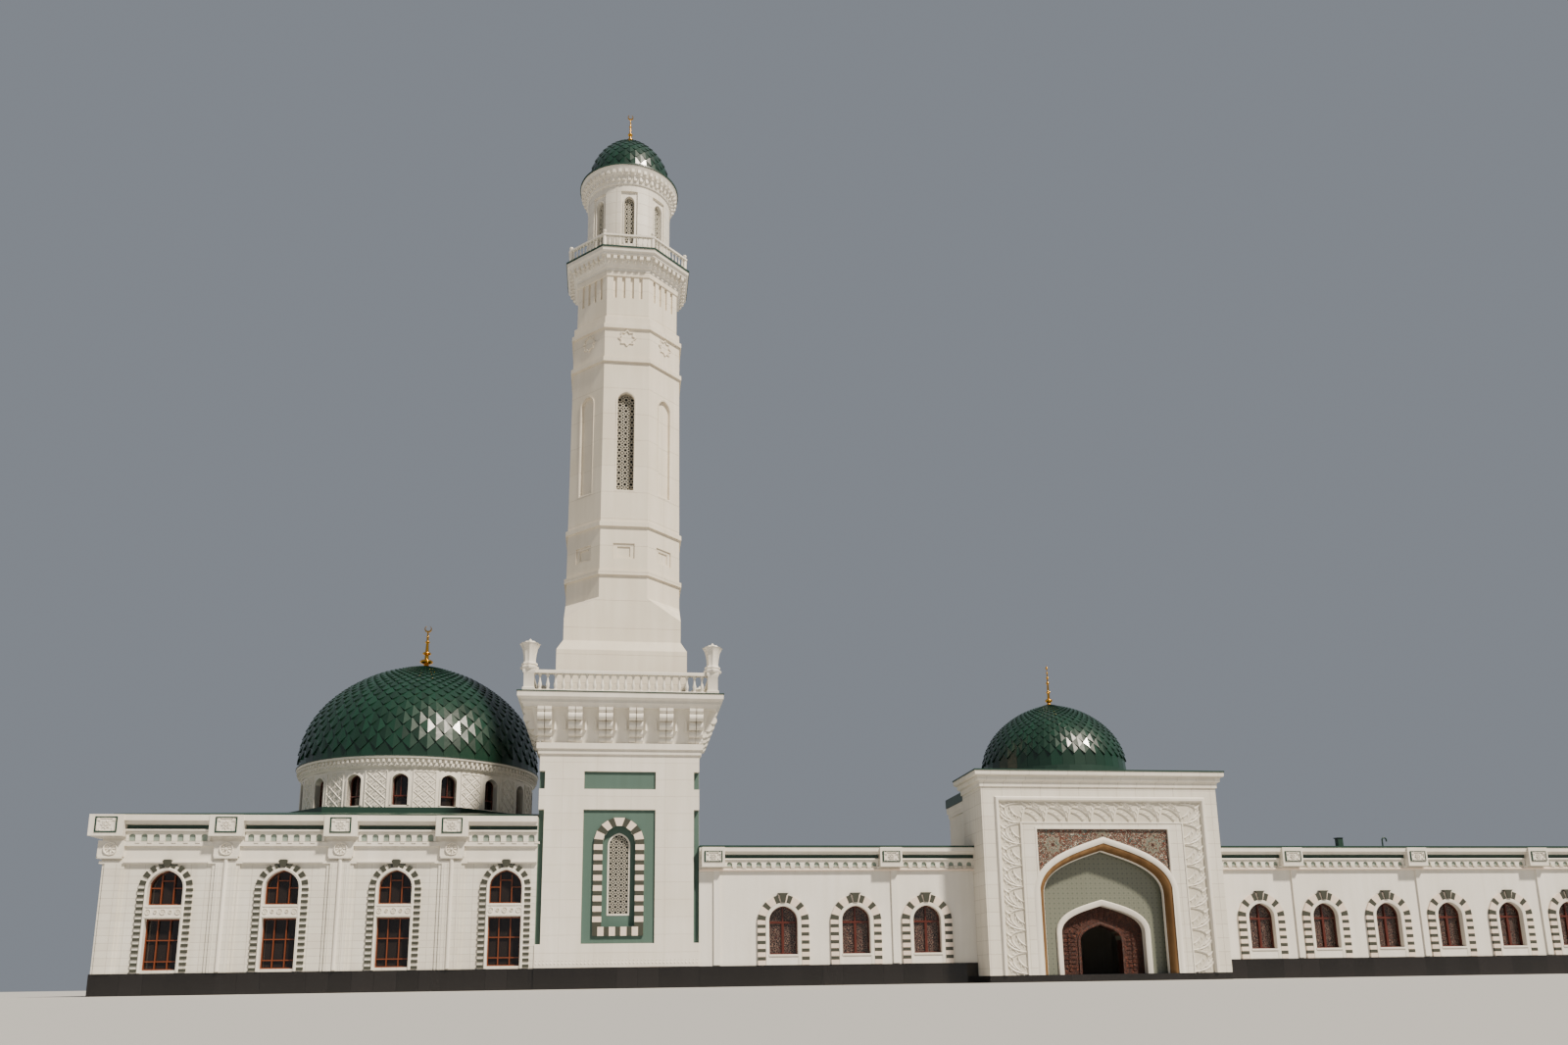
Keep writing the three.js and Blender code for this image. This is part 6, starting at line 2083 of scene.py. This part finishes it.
    def leaf(self, piece: Piece, place: Place, width: float, step: float) -> None:
        """Carves one repeat: six thin crossing arcs, each with small leaves on its hollow side.

        Args:
            piece: Where it is added.
            place: The repeat's outer lower corner, with u into the band.
            width: The band's width.
            step: The repeat's height.
        """
        def rib(points: Sequence[Point], wide: float, tall: float) -> None:
            """Adds one low rib along a bent line, thinning at both ends.

            Args:
                points: The line's start, middle and end.
                wide: Half its width in the middle.
                tall: Its height.
            """
            count, rows = 10, []
            for i in range(count + 1):
                (u, v), (du, dv) = bend(points, i / count)
                thick = wide * (0.25 + 0.75 * math.sin(math.pi * i / count)) / math.hypot(du, dv)
                rows.append([place(u - dv * thick * k, v + du * thick * k, w)
                             for k, w in ((-1.0, 0.0), (-0.35, tall), (0.4, tall * 0.8), (1.0, 0.0))])
            faces = [(4 * i + k, 4 * i + k + 1, 4 * i + k + 5, 4 * i + k + 4) for i in range(count)
                     for k in range(3)]
            piece.add([corner for row in rows for corner in row], faces)

        for arc, leaves in LEAF_ARCS:
            points = [(u * width, v * step) for u, v in arc]
            rib(points, 0.05, 0.06)
            for number in range(leaves):
                (u, v), (du, dv) = bend(points, (number + 0.7) / (leaves + 0.4))
                length = math.hypot(du, dv) / (0.18 - 0.012 * number)
                tip = (u + (du * 0.75 + dv * 0.65) / length, v + (dv * 0.75 - du * 0.65) / length)
                bulge = ((u + tip[0]) / 2 + dv / length * 0.2, (v + tip[1]) / 2 - du / length * 0.2)
                rib([(u, v), bulge, tip], 0.045, 0.034)

    def lay_mosaic(self) -> None:
        """Lays the spandrels' mosaic, with three star medallions in a ring of small stars."""
        piece = Piece("portal_spandrel_mosaic")
        face = self.wall(self.field_depth)
        edge = self.arch.grown(0.42)
        half, top = self.field_half - 0.02, self.field_top - 0.02
        reach = self.field_half - 0.03
        head = [p for p in edge.head() if p[1] > self.arch.spring + 0.2 and abs(p[0]) < reach]
        bottom = self.arch.spring + 0.21
        shape = [(half, max(bottom, head[-1][1])), *head[::-1], (-half, max(bottom, head[0][1])),
                 (-half, top), (half, top)]
        piece.plate(face, shape[::-1], 0.0, 0.012, MOSAIC)
        for u, v, size in self.medallions:
            here = moved(face, u, v, 0.012)
            for outer, inner, finish, height in STAR_LAYERS:
                piece.plate(here, star(size * outer, size * inner, 8), 0.0, height, finish)
            for number in range(8):
                turn = math.pi * (number + 0.5) / 4
                petal = moved(here, size * 1.12 * math.cos(turn), size * 1.12 * math.sin(turn))
                piece.plate(petal, star(size * 0.2, size * 0.1, 4, turn), 0.0, 0.012, CREAM_INLAY)
        piece.build()

    def build_arch_mouldings(self) -> None:
        """Builds the white edge of the great arch, its gilded rope, and the niche's tiled lining."""
        piece = Piece("portal_arch_mouldings")
        face = self.wall(self.field_depth)
        path = self.arch.grown(0.16).path()
        piece.sweep(face, path, [(0.0, 0.0), (0.0, 0.1), (0.06, 0.13), (0.2, 0.13), (0.26, 0.1),
                                 (0.26, 0.0)])
        path = self.arch.path()
        piece.sweep(face, path, [(-0.12, -0.28), (-0.16, -0.3), (-0.16, -0.42), (-0.045, -0.44)])
        piece.sweep(face, path, [(-0.045, -0.66), (-0.045, -0.43)], NICHE_TILE)
        piece.build()
        rope = Piece("portal_arch_rope", Slot.GOLD)
        rope.sweep(face, path, [(0.18, 0.075), (0.13, 0.075), (0.07, 0.07), (0.0, 0.04), (-0.05, -0.04),
                                (-0.09, -0.14), (-0.11, -0.22), (-0.12, -0.3)], WORN_GILDING)
        rope.build(replaces=["portal_arch_trim"], smooth=60)

    def build_doorway(self) -> None:
        """Builds the inner arch's white edge, the carved terracotta surround and the lit door edge."""
        piece = Piece("portal_doorway_surround")
        face = self.wall(self.niche_depth)
        piece.sweep(face, self.inner.path(), [(-0.05, -0.3), (-0.05, 0.05), (0.02, 0.09), (0.16, 0.09),
                                              (0.2, 0.05), (0.2, 0.0)])
        back = self.wall(self.niche_depth + self.inner_depth)
        ring = self.inner.grown(-0.02)
        hole = self.door.grown(0.04)
        notch = [(-hole.half, self.foot), *hole.head(), (hole.half, self.foot)]
        piece.plate(back, [*ring.path()[::-1], *notch], 0.0, 0.02, TERRACOTTA)
        piece.sweep(face, self.inner.path(), [(-0.04, -0.35), (-0.04, -0.02)], TERRACOTTA)
        piece.sweep(back, hole.path(), [(-0.05, -0.5), (-0.05, 0.06), (0.02, 0.08), (0.07, 0.06),
                                        (0.07, 0.0)], TERRACOTTA)
        for number in range(self.door_stars):
            for side in (-1, 1):
                v = 0.5 + 0.19 * number
                here = moved(back, side * 1.5, v, 0.02)
                piece.plate(here, star(0.085, 0.05, 8, number), 0.0, 0.03, TERRACOTTA)
                piece.block(moved(back, side * 1.5, v + 0.095, 0.02), (-0.3, 0.3), (-0.012, 0.012),
                            (0.0, 0.03), TERRACOTTA)
        near, far = self.rays
        for number in range(self.door_rays):
            angle = math.radians(8 + 164 * number / (self.door_rays - 1))
            u, v = math.cos(angle), math.sin(angle)
            here = moved(back, u * near, self.door.spring + v * near * 0.86, 0.02, angle)
            piece.block(here, (0.0, far - near), (-0.03, 0.03), (0.0, 0.03), TERRACOTTA)
        piece.build()


@dataclass(frozen=True)
class Studio:
    """The pale floor, the soft light and the camera, which are no part of the building; in model metres."""

    eye: Spot = (-0.117, -27.97, 0.12)
    turn: float = 0.144
    tilt: float = 0.225
    roll: float = -0.015
    focal_px: float = 1213.15
    image_px: Point = (1600, 1066)
    horizon_px: float = 1000.0
    sensor_mm: float = 36.0
    floor_half: float = 6000.0
    sun_strength: float = 6.9
    sun_width: float = math.radians(5)
    sun_tilt: float = math.radians(40)
    sun_turn: float = math.radians(40)
    sun_colour: str = "FFF3E2"
    surround_strength: float = 0.4
    surround_colour: str = "C6CEDA"

    def build(self) -> None:
        """Makes the floor, the lights and the camera."""
        self.make_floor()
        self.make_lights()
        self.make_camera()

    def make_floor(self) -> None:
        """Lays a plain pale floor under the building, out to the horizon."""
        mesh = bpy.data.meshes.new("studio_floor")
        corners = [(u, v, 0.0) for u, v in square(self.floor_half)]
        mesh.from_pydata(corners, [], [(0, 1, 2, 3)])
        mesh.materials.append(FLOOR_PAPER.material())
        made = bpy.data.objects.new("studio_floor", mesh)
        bpy.context.scene.collection.objects.link(made)

    def make_lights(self) -> None:
        """Sets a soft key light high on the right of the street, and an even grey surround."""
        key = bpy.data.lights.new("key", "SUN")
        key.energy, key.angle, key.color = self.sun_strength, self.sun_width, linear(self.sun_colour)[:3]
        lamp = bpy.data.objects.new("key", key)
        lamp.rotation_euler = (self.sun_tilt, 0.0, self.sun_turn)
        bpy.context.scene.collection.objects.link(lamp)
        world = bpy.data.worlds.new("studio")
        bpy.context.scene.world = world
        world.use_nodes = True
        surround = world.node_tree.nodes["Background"]
        surround.inputs["Color"].default_value = linear(self.surround_colour)
        surround.inputs["Strength"].default_value = self.surround_strength

    def make_camera(self) -> None:
        """Sets the street view: a wide lens with a little rise, leaning back to take in the minaret."""
        lens = bpy.data.cameras.new("street_view")
        lens.sensor_width = self.sensor_mm
        lens.lens = self.focal_px * self.sensor_mm / self.image_px[0]
        rise = self.horizon_px - self.image_px[1] / 2 - self.focal_px * math.tan(self.tilt)
        lens.shift_y = rise / self.image_px[0]
        lens.clip_start, lens.clip_end = 0.1, 4 * self.floor_half
        forward = Vector((math.sin(self.turn) * math.cos(self.tilt),
                          math.cos(self.turn) * math.cos(self.tilt), math.sin(self.tilt)))
        level = forward.cross(Vector((0, 0, 1))).normalized()
        right = level * math.cos(self.roll) + level.cross(forward) * math.sin(self.roll)
        turned = Matrix((right, right.cross(forward), -forward)).transposed()
        made = bpy.data.objects.new("street_view", lens)
        made.matrix_world = Matrix.LocRotScale(Vector(self.eye), turned.to_quaternion(), None)
        bpy.context.scene.collection.objects.link(made)
        bpy.context.scene.camera = made


def main() -> None:
    """Builds the whole building around its frame."""
    logging.basicConfig(level=logging.INFO, format="%(message)s")
    Studio().build()
    Hall().build()
    HallDrum().build()
    TiledDome("hall_dome", -10.27, 7.28, foot=10.9, top=16.8, radius=5.9, columns=48, plain_foot=0.3,
              lift=0.085).build()
    Finial("hall_finial", -10.27, 7.28, foot=16.62, top=19.05, width=0.36).build()
    TowerFoot().build()
    TowerCornice().build()
    Shaft().build()
    Balcony().build()
    Lantern().build()
    TiledDome("lantern_dome", 0.0, 0.0, foot=41.0, top=44.05, radius=2.12, columns=24, plain_foot=0.12,
              lift=0.045).build()
    Finial("lantern_finial", 0.0, 0.0, foot=43.92, top=45.86, width=0.2).build()
    Wing("middle_wing", start=3.5, end=17.2, windows=(7.2, 10.45, 13.68), blocks=(4.1, 12.06),
         walls=("bay_1", "bay_2", "bay_3", "back_wall"), glass=("front_glazing", "back_glazing"),
         end_wall=False, front_start=3.5, front_end=15.93).build()
    Wing("right_wing", start=25.8, end=47.85, windows=(29.68, 32.9, 36.1, 39.3, 42.5, 45.7),
         blocks=(31.35, 37.75, 44.15), walls=("front_wall", "back_wall", "end_wall"), glass=("glazing",),
         end_wall=True, front_start=27.07, front_end=47.85).build()
    RoofVents().build()
    Portal().build()
    TiledDome("portal_dome", 21.5, 0.3, foot=9.95, top=13.65, radius=3.5, columns=40, plain_foot=0.55,
              lift=0.06).build()
    Finial("portal_finial", 21.5, 0.3, foot=13.55, top=15.75, width=0.2, crescent=False,
           balls=((0.14, 0.9, 0.05), (0.34, 0.5, 0.03), (0.56, 0.42, 0.03), (0.68, 0.34, 0.025),
                  (0.8, 0.26, 0.02), (0.92, 0.3, 0.035))).build()


if __name__ == "__main__":
    main()
